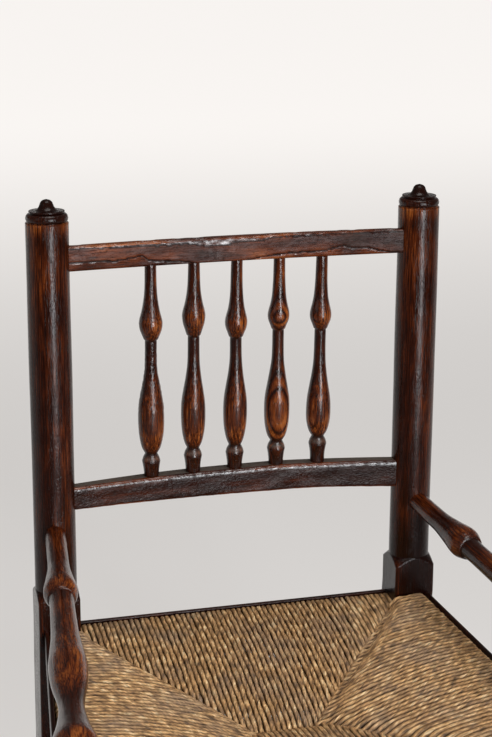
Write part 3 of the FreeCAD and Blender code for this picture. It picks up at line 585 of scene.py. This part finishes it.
def eased_bar(length, thickness, height, ease, along, across):
    """A bar along X with eased long edges, cut into a fine net for later moves."""
    bm = bmesh.new()
    bmesh.ops.create_cube(bm, size=1.0)
    bmesh.ops.scale(bm, vec=(length, thickness, height), verts=bm.verts)
    long_edges = [e for e in bm.edges if abs(e.verts[0].co.x - e.verts[1].co.x) > length / 2]
    bmesh.ops.bevel(bm, geom=long_edges, offset=ease, segments=3, profile=0.5, affect="EDGES", material=-1)
    for axis, size, count in ((1, thickness, 8), (2, height, across), (0, length, along)):
        normal = Vector([axis == 0, axis == 1, axis == 2])
        for i in range(1, count):
            at = normal * size * (i / count - 0.5)
            whole = bm.verts[:] + bm.edges[:] + bm.faces[:]
            bmesh.ops.bisect_plane(bm, geom=whole, plane_co=at, plane_no=normal)
    return bm


def bowed(bm, front, thickness, front_bow, back_bow):
    """Bows a bar's front and back faces by their own amounts."""
    for vert in bm.verts:
        bend = 1 - (vert.co.x / RAIL_END) ** 2
        depth = vert.co.y / thickness + 0.5
        front_y = front + front_bow * bend
        back_y = front + thickness + back_bow * bend
        vert.co.y = front_y + (back_y - front_y) * depth


def along_line(x, stops):
    """The height of a line of (x, height) stops at x, level beyond its ends."""
    if x <= stops[0][0]:
        return stops[0][1]
    for (first_x, first), (last_x, last) in zip(stops, stops[1:]):
        if x <= last_x:
            return first + (last - first) * (x - first_x) / (last_x - first_x)
    return stops[-1][1]


bm = eased_bar(2 * RAIL_END, TOP_RAIL_PLAN[1], TOP_RAIL_HEIGHT, 2.0, 260, 20)
rubbed = bm.verts.layers.float.new("rubbed")
dust = bm.verts.layers.float.new("dust")
shine = bm.verts.layers.float.new("shine")
for vert in bm.verts:
    x, y, z = vert.co
    up = z + TOP_RAIL_HEIGHT / 2
    worn = 0.60 + 0.22 * uneven(x / 40, y / 8, z / 8)
    dull = 0.05 + 0.12 * uneven(x / 30, 5, z / 9)
    # The front: hewn facets meet the flat face in creases darkened with painted shade, and their rims
    # shine
    if y < -4:
        low_line = along_line(x, LOW_FACET) + 0.5 * uneven(x / 9, 1, 2)
        top_line = along_line(x, TOP_FACET) + 0.8 * uneven(x / 7, 4, 2)
        if up < low_line:
            vert.co.y += 0.5 + (low_line - up) * 0.10
            worn += 0.20 if x > 0 else 0.0
            dull -= 0.10
        if up > top_line:
            vert.co.y += 0.5 + (up - top_line) * 0.14
            dull = 0.0
            vert[shine] = 0.45 + 0.9 * uneven(x / 11, 8, z / 4)
        # Painted shade: a dark line along each crease, which is also pressed in a little
        if min(abs(up - low_line), abs(up - top_line + 0.8)) < 0.8:
            vert.co.y += 0.6
            worn -= 0.5
        if 0.8 < low_line - up < 1.9:
            vert.co.y -= 0.2
            vert[shine] = 0.25 + 0.7 * uneven(x / 9, 8, 2)
        vert.co.y += 0.6 * uneven(x / 30, 7, z / 14)
        vert.co.y += 0.25 * uneven(x / 7, 3, z / 5)
    # The top edge is worn down in places, and the whole rail climbs a little to the right
    if up > TOP_RAIL_HEIGHT - 2.5:
        vert.co.z -= 0.7 * max(0.0, uneven(x / 13, 9, y / 9))
        worn += 0.3
    vert.co.z += 1.2 * x / RAIL_END
    vert[rubbed] = clamped(worn)
    vert[dust] = clamped(dull)
bowed(bm, *TOP_RAIL_PLAN)
bmesh.ops.translate(bm, vec=(0, 0, TOP_RAIL_UP + TOP_RAIL_HEIGHT / 2), verts=bm.verts)
placed_back(bm)
rail_place = Vector((0, BACK_LINE + 50, SEAT + 420))
finish = wood_finish(
    "hewn_top_rail",
    rail_place,
    rail_place + Vector((100, 2, 0)),
    polish=0.35,
    figure=0.08,
    lively=0.16,
    gloss=0.15,
    glints=True,
)
finished(bm, "hewn_top_rail_bar", finish, "dark_wood", "top_rail")

bm = eased_bar(2 * RAIL_END, LOWER_RAIL_PLAN[1], LOWER_RAIL_HEIGHT, 2.2, 260, 16)
rubbed = bm.verts.layers.float.new("rubbed")
dust = bm.verts.layers.float.new("dust")
shine = bm.verts.layers.float.new("shine")
for vert in bm.verts:
    x, y, z = vert.co
    up = z + LOWER_RAIL_HEIGHT / 2
    worn = 0.30 + 0.22 * uneven(x / 35, y / 8, z / 8)
    dull = 0.12 * uneven(x / 20, y / 8, z / 8)
    # The front is finely pitted, with rubbed long edges, and dust lies on the top
    if y < -5.5:
        vert.co.y += 0.5 * uneven(x / 26, 17, z / 12)
        vert.co.y += 0.22 * uneven(x / 3, 13, z / 3)
        if up < 2 or up > LOWER_RAIL_HEIGHT - 2.5:
            worn += 0.4
            dull = 0.0
            vert.co.z += 0.4 * uneven(x / 12, 23, 1)
        if up > LOWER_RAIL_HEIGHT - 4:
            vert.co.y += (up - LOWER_RAIL_HEIGHT + 4) * 0.2
            vert[shine] = 0.55 + 0.6 * uneven(x / 8, 3, 1)
    elif up > LOWER_RAIL_HEIGHT - 1.5:
        dull = 0.95
    foot_rise = along_line(x, FOOT_LINE)
    vert.co.z += foot_rise + (along_line(x, CROWN_LINE) - foot_rise) * up / LOWER_RAIL_HEIGHT
    vert[rubbed] = clamped(worn)
    vert[dust] = clamped(dull)
bowed(bm, *LOWER_RAIL_PLAN)
bmesh.ops.translate(bm, vec=(0, 0, LOWER_RAIL_UP + LOWER_RAIL_HEIGHT / 2), verts=bm.verts)
placed_back(bm)
rail_place = Vector((0, BACK_LINE + 20, SEAT + 140))
finish = wood_finish(
    "worn_lower_rail",
    rail_place,
    rail_place + Vector((100, 1, 2)),
    polish=0.28,
    figure=0.08,
    pitted=0.5,
    lively=0.3,
    gloss=0.15,
    glints=True,
)
finished(bm, "worn_lower_rail_bar", finish, "dark_wood", "lower_back_rail")


# Spindles
# Five turned spindles, tenoned into the two rails: a cup foot, a baluster, a thin shank, and
# a bulb above a small step. Each was turned by eye, so their swells and heights differ.
SPINDLE_SPACING = 50.0
TENON_RADIUS = 4.5
CUPS = (19.5, 21.5, 21.0, 22.5, 25.0)
SWELLS = (15.0, 14.2, 13.9, 14.9, 14.3)
BELLIES = (68.5, 69.5, 69.5, 67.5, 62.5)
STEP_DROPS = (86.0, 84.5, 89.5, 83.0, 85.0)
BULB_RISES = (18.5, 23.0, 17.5, 16.0, 16.0)
BULBS = (13.3, 13.2, 12.9, 12.6, 12.6)
PITHS = ((9.0, 14.0), (-26.0, 12.0), (24.0, -18.0), (-4.0, -19.3), (18.0, 22.0))
FIGURES = (0.2, 0.2, 0.25, 0.6, 0.25)


def between(a, b, share):
    """The value that lies at a share of the way from a to b."""
    return a + (b - a) * share


def laid(bm, start, end):
    """Lays a form made along Z on the line from start to end."""
    way = Vector((0, 0, 1)).rotation_difference((end - start).normalized()).to_matrix().to_4x4()
    bm.transform(Matrix.Translation(start) @ way)


def rail_middle(front, thickness, front_bow, back_bow, x):
    """How far behind the posts' plane the middle of a rail's thickness lies."""
    return front + thickness / 2 + (front_bow + back_bow) / 2 * (1 - (x / RAIL_END) ** 2)


for index in range(5):
    x = (index - 2) * SPINDLE_SPACING
    low = Vector((x, rail_middle(*LOWER_RAIL_PLAN, x), LOWER_RAIL_UP + LOWER_RAIL_HEIGHT))
    high = Vector((x, rail_middle(*TOP_RAIL_PLAN, x), TOP_RAIL_UP))
    length = (high - low).length
    swell, belly, bulb = SWELLS[index], BELLIES[index], BULBS[index]
    cup = CUPS[index]
    neck = cup + 7.0
    step_at = length - STEP_DROPS[index]
    bulb_at = step_at + BULB_RISES[index]
    line = outline(
        [
            [(-8.0, TENON_RADIUS), (-1.0, TENON_RADIUS)],
            [(-1.0, 8.4), (cup - 13, 8.9), (cup, 11.0)],
            [(cup, 11.0), (cup + 4, 8.0)],
            [(cup + 4, 8.0), (neck - 1.5, 6.3)],
            [
                (neck - 1.5, 6.3),
                (neck, 7.0),
                (between(neck, belly, 0.16), 0.71 * swell),
                (between(neck, belly, 0.40), 0.875 * swell),
                (between(neck, belly, 0.65), 0.965 * swell),
                (belly, swell),
                (belly + 15, 0.955 * swell),
                (belly + 29, 0.81 * swell),
                (belly + 43, 0.645 * swell),
                (belly + 58, 7.4),
                (belly + 72, 6.85),
                (step_at, 6.7),
            ],
            [
                (step_at, 7.9),
                (between(step_at, bulb_at, 0.31), 0.77 * bulb),
                (between(step_at, bulb_at, 0.62), 0.93 * bulb),
                (bulb_at, bulb),
                (bulb_at + 6, 0.94 * bulb),
                (bulb_at + 13, 0.80 * bulb),
                (bulb_at + 22, 0.67 * bulb),
                (bulb_at + 33, 7.5),
                (bulb_at + 45, 6.9),
                (length + 1.2, 6.6),
            ],
            [(length + 1.2, TENON_RADIUS), (length + 8.0, TENON_RADIUS)],
        ],
        2.2,
    )
    bm = spun(line, 32)
    mark_rubbed(bm, 24.0, 0.11)
    rubbed = bm.verts.layers.float["rubbed"]
    dust = bm.verts.layers.float.new("dust")
    # Dust lies on the bevel above the cup foot, and the cup foot itself is darkened.
    for vert in bm.verts:
        if cup + 0.4 < vert.co.z < neck:
            vert[dust] = 0.5
        if vert.co.z < cup:
            vert[rubbed] *= 0.35
    if index == 0:
        bm.normal_update()
        for vert in bm.verts:
            if 75 < vert.co.z < 147:
                vert.co += vert.normal * 0.55 * noise.noise(vert.co / 3.2)
    weathered(bm, 0.35, 16.0, index * 5.7)
    laid(bm, low, high)
    placed_back(bm)
    foot = Matrix.Rotation(-LEAN, 3, "X") @ low + Vector((0, BACK_LINE, SEAT))
    head = Matrix.Rotation(-LEAN, 3, "X") @ high + Vector((0, BACK_LINE, SEAT))
    name = "spindle_%d" % (index + 1)
    finish = wood_finish(
        "polished_" + name,
        foot,
        head,
        ring=3.4,
        pith=PITHS[index],
        warmth=1.2,
        polish=0.10,
        figure=FIGURES[index],
        pitted=0.5 if index == 0 else 0.0,
        gloss=0.38,
    )
    finished(bm, "turned_" + name, finish, "dark_wood", name)


# Arms
# Turned arms: a straight shank let into the back post, a bulb with a step, a long swell, a
# neck, and a knob over the front post. Turned by eye, they step at unlike lengths.
ARM_UP = 114.0
# How far from the back post each arm steps down, and its radius beyond the step
ARM_STEPS = {"left": (170.0, 13.4), "right": (147.0, 12.4)}
SHANK_RADIUS = 11.6


for side_name, side in SIDES.items():
    back = Vector((side * BACK_HALF, BACK_LINE + math.tan(LEAN) * ARM_UP, SEAT + ARM_UP))
    front = Vector((side * FRONT_HALF, BACK_LINE - SEAT_DEPTH, SEAT + ARM_UP))
    length = (front - back).length
    swell_at = length - 142.0
    neck_at = length - 66.0
    step, thin = ARM_STEPS[side_name]
    line = outline(
        [
            [(8.0, SHANK_RADIUS), (step - 83, SHANK_RADIUS)],
            [
                (step - 83, SHANK_RADIUS),
                (step - 65, 12.2),
                (step - 39.5, 15.3),
                (step - 14, 18.3),
                (step, 14.6),
            ],
            [
                (step, thin),
                (step + 19, thin - 0.5),
                (between(step + 19, swell_at, 0.5), thin + 1.1),
                (between(step + 19, swell_at, 0.8), 17.5),
                (swell_at, 19.4),
                (between(swell_at, neck_at, 0.4), 17.9),
                (between(swell_at, neck_at, 0.75), 13.8),
                (neck_at, 12.6),
                (between(neck_at, length, 0.45), 16.0),
                (length - 9.0, 21.7),
                (length, 22.5),
                (length + 18.0, 19.0),
                (length + 30.0, 9.0),
            ],
        ],
        3.0,
    )
    bm = spun(line, 48)
    mark_rubbed(bm, 34.0, 0.10)
    weathered(bm, 0.5, 26.0, side * 8.3)
    laid(bm, back, front)
    finish = wood_finish(
        "polished_arm_" + side_name,
        back,
        front,
        ring=3.4,
        pith=(20.0 * side, 34.0),
        warmth=1.2,
        polish=0.13,
        figure=0.15,
        lively=0.7,
        gloss=0.36,
    )
    finished(bm, "turned_arm_" + side_name, finish, "dark_wood", "arm_" + side_name)


# Front posts
# Turned legs with a foot, two swells and a ring, a square block at the seat, and the turned
# support of the arm, whose neck enters the knob from below.
block_low = SEAT + BLOCK_FOOT
block_top = SEAT + 24.0
under_arm = SEAT + ARM_UP - 22.5
for side_name, side in SIDES.items():
    line = outline(
        [
            [
                (0, 15.0),
                (18.7, 20.5),
                (34.0, 17.5),
                (50.0, 14.5),
                (96.8, 19.7),
                (128.0, 21.5),
                (172.0, 16.0),
                (180.0, 16.0),
            ],
            [(180.0, 21.0), (187.0, 23.0), (194.0, 21.0)],
            [(194.0, 16.0), (228.0, 19.0), (262.0, 21.5), (314.0, 19.9), (366.0, 16.0), (376.0, 19.0)],
        ],
        3.0,
    )
    line += outline([[(376.5, 20.0), (block_low + 1, BLOCK_HALF)]], 0.8)
    line += outline([[(block_low + 3, BLOCK_HALF), (block_top, BLOCK_HALF)]], 8.0)
    line += outline([[(block_top + 0.6, 20.0), (block_top + SHOULDER, 20.0)]], 0.7)
    line += outline(
        [
            [
                (block_top + SHOULDER + 0.2, 13.0),
                (block_top + SHOULDER + 26, 17.5),
                (under_arm - 4, 11.1),
            ],
            [(under_arm - 4, 10.5), (under_arm + 14.0, 10.5)],
        ],
        2.5,
    )
    bm = spun(line, 64)
    squared(bm, block_low, block_top, lambda height: BLOCK_HALF, 3.6, 21.0)
    mark_rubbed(bm)
    weathered(bm, 0.4, 40.0, side * 12.9)
    foot = Vector((side * FRONT_HALF, BACK_LINE - SEAT_DEPTH, 0))
    bmesh.ops.translate(bm, vec=foot, verts=bm.verts)
    upward = foot + Vector((0, 0, 100))
    pith = (40.0, 28.0 * side)
    finish = wood_finish("polished_front_post_" + side_name, foot, upward, 3.3, pith, figure=0.15)
    finished(bm, "turned_front_post_" + side_name, finish, "dark_wood", "front_post_" + side_name)


# Stretchers
# The front one is turned with two long swells and a ringed ball. The others are plain and
# swell gently to the middle. All are tenoned into the legs.
END_RADIUS = 8.5


def plain_line(length):
    """A stretcher that swells gently to its middle."""
    return [
        [(10.0, END_RADIUS), (32.0, END_RADIUS)],
        [(32.0, END_RADIUS), (length / 2, 12.0), (length - 32.0, END_RADIUS)],
        [(length - 32.0, END_RADIUS), (length - 10.0, END_RADIUS)],
    ]


def ball_line(length):
    """A stretcher with a ringed ball between two long swells."""
    middle = length / 2
    first = [
        [(10.0, END_RADIUS), (32.0, END_RADIUS)],
        [
            (32.0, END_RADIUS),
            (between(24.0, middle - 34, 0.35), 12.0),
            (between(24.0, middle - 34, 0.7), 15.5),
            (middle - 40, END_RADIUS),
        ],
        [(middle - 40, 14.0), (middle - 37, 15.2), (middle - 34, 14.6)],
    ]
    ball = [
        (middle - 34, END_RADIUS),
        (middle - 15.3, 18.0),
        (middle, 21.0),
        (middle + 15.3, 18.0),
        (middle + 34, END_RADIUS),
    ]
    second = [[(length - at, radius) for at, radius in reversed(stretch)] for stretch in reversed(first)]
    return first + [ball] + second


STRETCHERS = {
    "front_stretcher": ((-FRONT_HALF, -SEAT_DEPTH), (FRONT_HALF, -SEAT_DEPTH), 187.0),
    "back_stretcher": ((-BACK_HALF, 0.0), (BACK_HALF, 0.0), 198.0),
    "side_stretcher_left_upper": ((-BACK_HALF, 0.0), (-FRONT_HALF, -SEAT_DEPTH), 262.0),
    "side_stretcher_left_lower": ((-BACK_HALF, 0.0), (-FRONT_HALF, -SEAT_DEPTH), 128.0),
    "side_stretcher_right_upper": ((BACK_HALF, 0.0), (FRONT_HALF, -SEAT_DEPTH), 262.0),
    "side_stretcher_right_lower": ((BACK_HALF, 0.0), (FRONT_HALF, -SEAT_DEPTH), 128.0),
}
for order, (name, (first, second, height)) in enumerate(STRETCHERS.items()):
    start = Vector((first[0], BACK_LINE + first[1], height))
    end = Vector((second[0], BACK_LINE + second[1], height))
    length = (end - start).length
    line = outline(ball_line(length) if name == "front_stretcher" else plain_line(length), 3.5)
    bm = spun(line, 32)
    mark_rubbed(bm)
    weathered(bm, 0.5, 24.0, order * 4.4)
    laid(bm, start, end)
    finish = wood_finish("polished_" + name, start, end, 3.0, (22.0 + 4 * order, 26.0), figure=0.15)
    finished(bm, "turned_" + name, finish, "dark_wood", name)


# Edge strips, seat rails and nails
# Thin strips, rounded along their top, guard the rush from outside. Small iron nails fix
# them to the seat rails, which the rush hides.
IRON_TONES = ((0.0, (0.02, 0.016, 0.014, 1)), (1.0, (0.09, 0.055, 0.035, 1)))

for name in ("back", "front", "left", "right"):
    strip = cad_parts["edge_strip_" + name]
    low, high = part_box("edge_strip_" + name)
    start = low / MM
    end = start + (Vector((100, 0, 0)) if name in ("back", "front") else Vector((-13, -100, 0)))
    strip.data.materials.clear()
    finish = wood_finish("strip_" + name, start, end, warmth=2.6, polish=0.3, figure=0.1, gloss=0.25)
    strip.data.materials.append(finish)
    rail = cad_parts["seat_rail_" + name]
    rail.data.materials.clear()
    rail.data.materials.append(wood_finish("rail_" + name, start, end, warmth=1.4, polish=0.6))

nail_finish, tree = new_finish("dark_iron")
inputs = {"Vector": add(tree, "TexCoord").outputs["Object"], "Scale": 900.0, "Detail": 3.0}
rust = add(tree, "TexNoise", inputs).outputs["Fac"]
inputs = {"Base Color": ramp(tree, rust, IRON_TONES), "Metallic": 0.8, "Roughness": rust}
shade = add(tree, "BsdfPrincipled", inputs)
add(tree, "OutputMaterial", {"Surface": shade.outputs["BSDF"]})
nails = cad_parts["edge_strip_nails"]
nails.data.materials.clear()
nails.data.materials.append(nail_finish)


# Rush seat
# Four sections of twisted rush. Every strand comes up out of the middle, goes round its
# rail, and dives down again at the seam, where the next section's strand takes over.
STRAND_PITCH = 6.2
STRAND_HALF = 3.25
RUSH_OUT = 9.7
ROUNDING = 7.5
RAIL_DEPTH = 34.0
PANEL_FOOT = 387.0
MIDDLE_TOP = 404.0
SEAM_TOP = 427.0
MIDDLE_SEAM_TOP = 403.0
SEAM_RUN = 28.0
# Where the seams begin and end, as (across, from the back posts' line)
CORNER_BACK = -24.0
CORNER_FRONT = -406.0
MIDDLE = -215.0
CORNER_BACK_HALF = 191.0
CORNER_FRONT_HALF = 246.0
MIDDLE_HALF = 36.0
CORNERS = {
    "BL": (-CORNER_BACK_HALF, CORNER_BACK),
    "BR": (CORNER_BACK_HALF, CORNER_BACK),
    "FL": (-CORNER_FRONT_HALF, CORNER_FRONT),
    "FR": (CORNER_FRONT_HALF, CORNER_FRONT),
    "ML": (-MIDDLE_HALF, MIDDLE),
    "MR": (MIDDLE_HALF, MIDDLE),
}
SLANT = math.atan2(FRONT_HALF - BACK_HALF, SEAT_DEPTH)
SIDE_OUT = RUSH_OUT / math.cos(SLANT)
# Each section's outer line, inward way, seam corners and the height of its top
SECTIONS = {
    "back": ((-189.0, RUSH_OUT), (189.0, RUSH_OUT), (0.0, -1.0), ("BL", "ML", "MR", "BR"), 429.0),
    "front": (
        (-244.0, -SEAT_DEPTH - RUSH_OUT),
        (244.0, -SEAT_DEPTH - RUSH_OUT),
        (0.0, 1.0),
        ("FL", "ML", "MR", "FR"),
        429.0,
    ),
    "left": (
        (-BACK_HALF - SIDE_OUT - 3.3, -26.0),
        (-FRONT_HALF - SIDE_OUT + 3.3, -404.0),
        (math.cos(SLANT), -math.sin(SLANT)),
        ("BL", "ML", "FL"),
        441.0,
    ),
    "right": (
        (BACK_HALF + SIDE_OUT + 3.3, -26.0),
        (FRONT_HALF + SIDE_OUT - 3.3, -404.0),
        (-math.cos(SLANT), -math.sin(SLANT)),
        ("BR", "MR", "FR"),
        441.0,
    ),
}
# Whether a section's strands run over its neighbour's at each of its seams
OVER = {
    "back": (True, False, False),
    "front": (False, False, True),
    "left": (False, True),
    "right": (True, False),
}


def sag_share(name, spot):
    """How far a point lies from the corner line of its section to the middle, from 0 to 1."""
    if name == "back":
        return (CORNER_BACK - spot.y) / (CORNER_BACK - MIDDLE)
    if name == "front":
        return (spot.y - CORNER_FRONT) / (MIDDLE - CORNER_FRONT)
    share = (CORNER_BACK - spot.y) / (CORNER_BACK - CORNER_FRONT)
    edge = between(CORNER_BACK_HALF, CORNER_FRONT_HALF, share)
    return (edge - abs(spot.x)) / (edge - MIDDLE_HALF)


def seam_room(name, spot, share):
    """How far a point lies from the nearer seam of its section, along the rail."""
    if name == "back":
        return between(CORNER_BACK_HALF, MIDDLE_HALF, share) - abs(spot.x)
    if name == "front":
        return between(CORNER_FRONT_HALF, MIDDLE_HALF, share) - abs(spot.x)
    back_room = between(CORNER_BACK, MIDDLE, share) - spot.y
    front_room = spot.y - between(CORNER_FRONT, MIDDLE, share)
    return min(back_room, front_room)


def rush_top(name, spot, top):
    """The height of a section's top, which sags to the middle and falls to its seams."""
    share = sag_share(name, spot)
    sag = max(0.0, share) ** 1.8
    level = between(top, MIDDLE_TOP, min(1.0, sag))
    room = seam_room(name, spot, max(0.0, share))
    if share < 0:
        return level
    seam = between(min(SEAM_TOP, top - 1), MIDDLE_SEAM_TOP, min(1.0, sag))
    rise = 1 - (1 - clamped(room / SEAM_RUN)) ** 2
    return between(level, seam + (level - seam) * rise, min(1.0, share * 12))


def strand_route(name, spot, way, reach, top, over):
    """The middle line of one strand, from its lower end round the rail to its upper end. At
    one seam it runs over the next section's strands, and at the other it dips under them."""
    rail_low = top - RAIL_DEPTH
    half = STRAND_HALF

    def at(distance, height):
        place = spot + way * distance
        return Vector((place.x, place.y, height))

    def upper(distance):
        near = max(0.0, 1 - (reach - distance) / 14) ** 2
        return rush_top(name, spot + way * distance, top) - half + near * (2.4 if over else -3.2)

    def lower(distance):
        share = clamped(sag_share(name, spot + way * distance))
        return between(rail_low, PANEL_FOOT, share) + half

    end = reach + (3.4 if over else 0.3)
    bend = ROUNDING - half
    turn_low = rail_low + ROUNDING
    edge_top = upper(ROUNDING + 1) + half
    turn_high = edge_top - ROUNDING
    inside = (upper(reach - 5) - lower(reach - 5)) / 2
    dive = min(9.0, inside - 0.5)
    route = [at(end, lower(reach - 5) + min(5.0, inside - 0.5)), at(end - 1.5, lower(reach - 5) + 1.5)]
    steps = max(2, round((reach - ROUNDING) / 14))
    for i in range(steps + 1):
        distance = between(reach - 5, ROUNDING, i / steps)
        route.append(at(distance, lower(distance)))
    for degrees in (240, 210, 180):
        turn = math.radians(degrees)
        route.append(at(ROUNDING + bend * math.cos(turn), turn_low + bend * math.sin(turn)))
    route.append(at(half, (turn_low + turn_high) / 2))
    for degrees in (180, 155, 130, 105):
        turn = math.radians(degrees)
        route.append(at(ROUNDING + bend * math.cos(turn), turn_high + bend * math.sin(turn)))
    steps = max(3, round((reach - ROUNDING) / 4.6))
    for i in range(1, steps + 1):
        distance = between(ROUNDING, end - 4.3, i / steps)
        route.append(at(distance, upper(distance)))
    last = upper(end - 4.3)
    route += [at(end - 1.6, last - 1.1), at(end - 0.2, last - 3.6), at(end, last - dive)]
    return route


RUSH_TONES = (
    (0.31, (0.15, 0.085, 0.042, 1)),
    (0.41, (0.38, 0.21, 0.092, 1)),
    (0.50, (0.56, 0.315, 0.135, 1)),
    (0.58, (0.78, 0.48, 0.22, 1)),
    (0.68, (1.0, 0.72, 0.41, 1)),
)
OLD_RUSH = (0.35, 0.25, 0.178, 1)


def rush_finish():
    """Twisted rush, golden where it is fresh and grey-brown where it is old, with fine
    lengthwise ribs. It reads the strands' own map: across in turns, along in centimetres."""
    finish, tree = new_finish("twisted_rush")
    spot = add(tree, "UVMap", uv_map="strands").outputs["UV"]

    def noise_at(scale, detail, rough, shift=0.0):
        inputs = {0: spot, 1: scale, 2: (shift, shift, 0)}
        moved = add(tree, "VectorMath", inputs, operation="MULTIPLY_ADD").outputs[0]
        inputs = {"Vector": moved, "Scale": 1.0, "Detail": detail, "Roughness": rough}
        return add(tree, "TexNoise", inputs).outputs["Fac"]

    def ranged(value, low, high, to_low, to_high):
        inputs = {"Value": value, "From Min": low, "From Max": high, "To Min": to_low, "To Max": to_high}
        return add(tree, "MapRange", inputs).outputs["Result"]

    leaf = noise_at((2.6, 0.65, 1.0), 3.0, 0.55)
    streak = noise_at((14.0, 0.9, 1.0), 3.0, 0.65, 7.0)
    inputs = {"Vector": add(tree, "TexCoord").outputs["Object"], "Scale": 22.0, "Detail": 3.0}
    wide = add(tree, "TexNoise", inputs).outputs["Fac"]
    inputs = {0: ranged(wide, 0.42, 0.68, 0.0, 0.5), 6: ramp(tree, leaf, RUSH_TONES), 7: OLD_RUSH}
    aged = add(tree, "Mix", inputs, data_type="RGBA")
    # Partly painted shade, partly dirt: the sides of each strand, where its neighbours touch, are
    # darkened.
    gap_shade_and_dirt = add(tree, "Attribute", attribute_name="gap_shade_and_dirt").outputs["Fac"]
    inputs = {0: ranged(streak, 0.34, 0.60, 0.47, 1.46), 1: ranged(gap_shade_and_dirt, 0.45, 0.98, 1.0, 0.25)}
    dark = add(tree, "Math", inputs, operation="MULTIPLY").outputs[0]
    ribbed_gap_shaded = add(tree, "VectorMath", {0: aged.outputs[2], "Scale": dark}, operation="SCALE")
    bump = add(tree, "Bump", {"Height": streak, "Strength": 0.6, "Distance": 0.0008})
    inputs = {"Base Color": ribbed_gap_shaded.outputs[0], "Normal": bump.outputs[0], "Roughness": 0.58}
    shade = add(tree, "BsdfPrincipled", inputs | {"Specular IOR Level": 0.35})
    add(tree, "OutputMaterial", {"Surface": shade.outputs["BSDF"]})
    return finish


rush = rush_finish()
leaf_line = bpy.data.curves.new("strand_section", "CURVE")
leaf_spline = leaf_line.splines.new("POLY")
LOBES = (1.0, 0.97, 0.80, 0.97, 1.0, 0.97, 0.80, 0.97)
leaf_spline.points.add(len(LOBES) - 1)
for i, lobe in enumerate(LOBES):
    turn = math.tau * i / len(LOBES)
    leaf_spline.points[i].co = (lobe * math.cos(turn), lobe * math.sin(turn), 0, 1)
leaf_spline.use_cyclic_u = True
leaf_section = bpy.data.objects.new("strand_section", leaf_line)

for name, (first, last, way, seam_names, top) in SECTIONS.items():
    first, last, way = Vector(first), Vector(last), Vector(way)
    seams = [Vector(CORNERS[key]) for key in seam_names]
    count = round((last - first).length / STRAND_PITCH)
    curve = bpy.data.curves.new("rush_" + name, "CURVE")
    curve.dimensions = "3D"
    curve.twist_mode = "MINIMUM"
    curve.bevel_mode = "OBJECT"
    curve.bevel_object = leaf_section
    along = (last - first).normalized()
    lengths = []
    for number in range(count + 1):
        seed = number * 3.7 + len(name) * 41
        share = number / count
        spot = first + (last - first) * share
        reach = 0
        for a, b, runs_over in zip(seams, seams[1:], OVER[name]):
            hit = geometry.intersect_line_line_2d(spot, spot + way * 400, a, b)
            if hit:
                reach = (hit - spot).length
                over = runs_over
        if reach < 25:
            continue
        route = strand_route(name, spot, way, reach, top, over)
        spline = curve.splines.new("POLY")
        spline.points.add(len(route) - 1)
        travelled = 0.0
        spin = 1 if name in ("back", "left") else -1
        thick = 1 + 0.10 * uneven(seed, 2, 3)
        for i, point in enumerate(route):
            if i:
                travelled += (point - route[i - 1]).length
            sway = 0.9 * uneven(seed, travelled / 45, 5)
            lift = 0.45 * uneven(seed, travelled / 30, 9)
            girth = STRAND_HALF * (thick + 0.10 * uneven(seed, travelled / 14, 1))
            moved = point + Vector((along.x, along.y, 0)) * sway + Vector((0, BACK_LINE, lift))
            spline.points[i].co = (*(moved * MM), 1)
            spline.points[i].radius = girth * MM
            spline.points[i].tilt = spin * (travelled / 26 * math.pi + seed)
            lengths.append((number, travelled))
    curve_object = bpy.data.objects.new("rush_curve_" + name, curve)
    scene.collection.objects.link(curve_object)
    bpy.context.view_layer.update()
    depsgraph = bpy.context.evaluated_depsgraph_get()
    mesh = bpy.data.meshes.new_from_object(curve_object.evaluated_get(depsgraph))
    bpy.data.objects.remove(curve_object)
    mesh.name = "woven_rush_" + name
    around = len(LOBES)
    bm = bmesh.new()
    bm.from_mesh(mesh)
    bmesh.ops.holes_fill(bm, edges=[edge for edge in bm.edges if edge.is_boundary], sides=around)
    bm.to_mesh(mesh)
    bm.free()
    # How far each point faces along the rail, towards the neighbouring strands: the mask for the painted
    # shade, with some dirt, on the strands' sides.
    gap_shade_and_dirt = mesh.attributes.new("gap_shade_and_dirt", "FLOAT", "POINT")
    for first_vert in range(0, len(mesh.vertices), around):
        ring = [mesh.vertices[first_vert + i].co for i in range(around)]
        middle = sum(ring, Vector()) / around
        for i, point in enumerate(ring):
            off = point - middle
            gap_shade_and_dirt.data[first_vert + i].value = abs(off.x * along.x + off.y * along.y) / off.length
    strands = mesh.uv_layers.new(name="strands")
    for face in mesh.polygons:
        turns = [mesh.loops[i].vertex_index % around for i in face.loop_indices]
        wraps = max(turns) == around - 1 and min(turns) == 0
        for loop, turn in zip(face.loop_indices, turns):
            number, travelled = lengths[mesh.loops[loop].vertex_index // around]
            full = around if wraps and turn == 0 else turn
            strands.data[loop].uv = (number * 2.37 + full / around, travelled / 10 + number * 5.1)
    mesh.shade_smooth()
    mesh.materials.clear()
    mesh.materials.append(rush)
    piece = bpy.data.objects.new("woven_rush_" + name, mesh)
    scene.collection.objects.link(piece)
    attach(piece, "root")
    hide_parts("rush_panel_" + name)
bpy.data.objects.remove(leaf_section)

low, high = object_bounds()
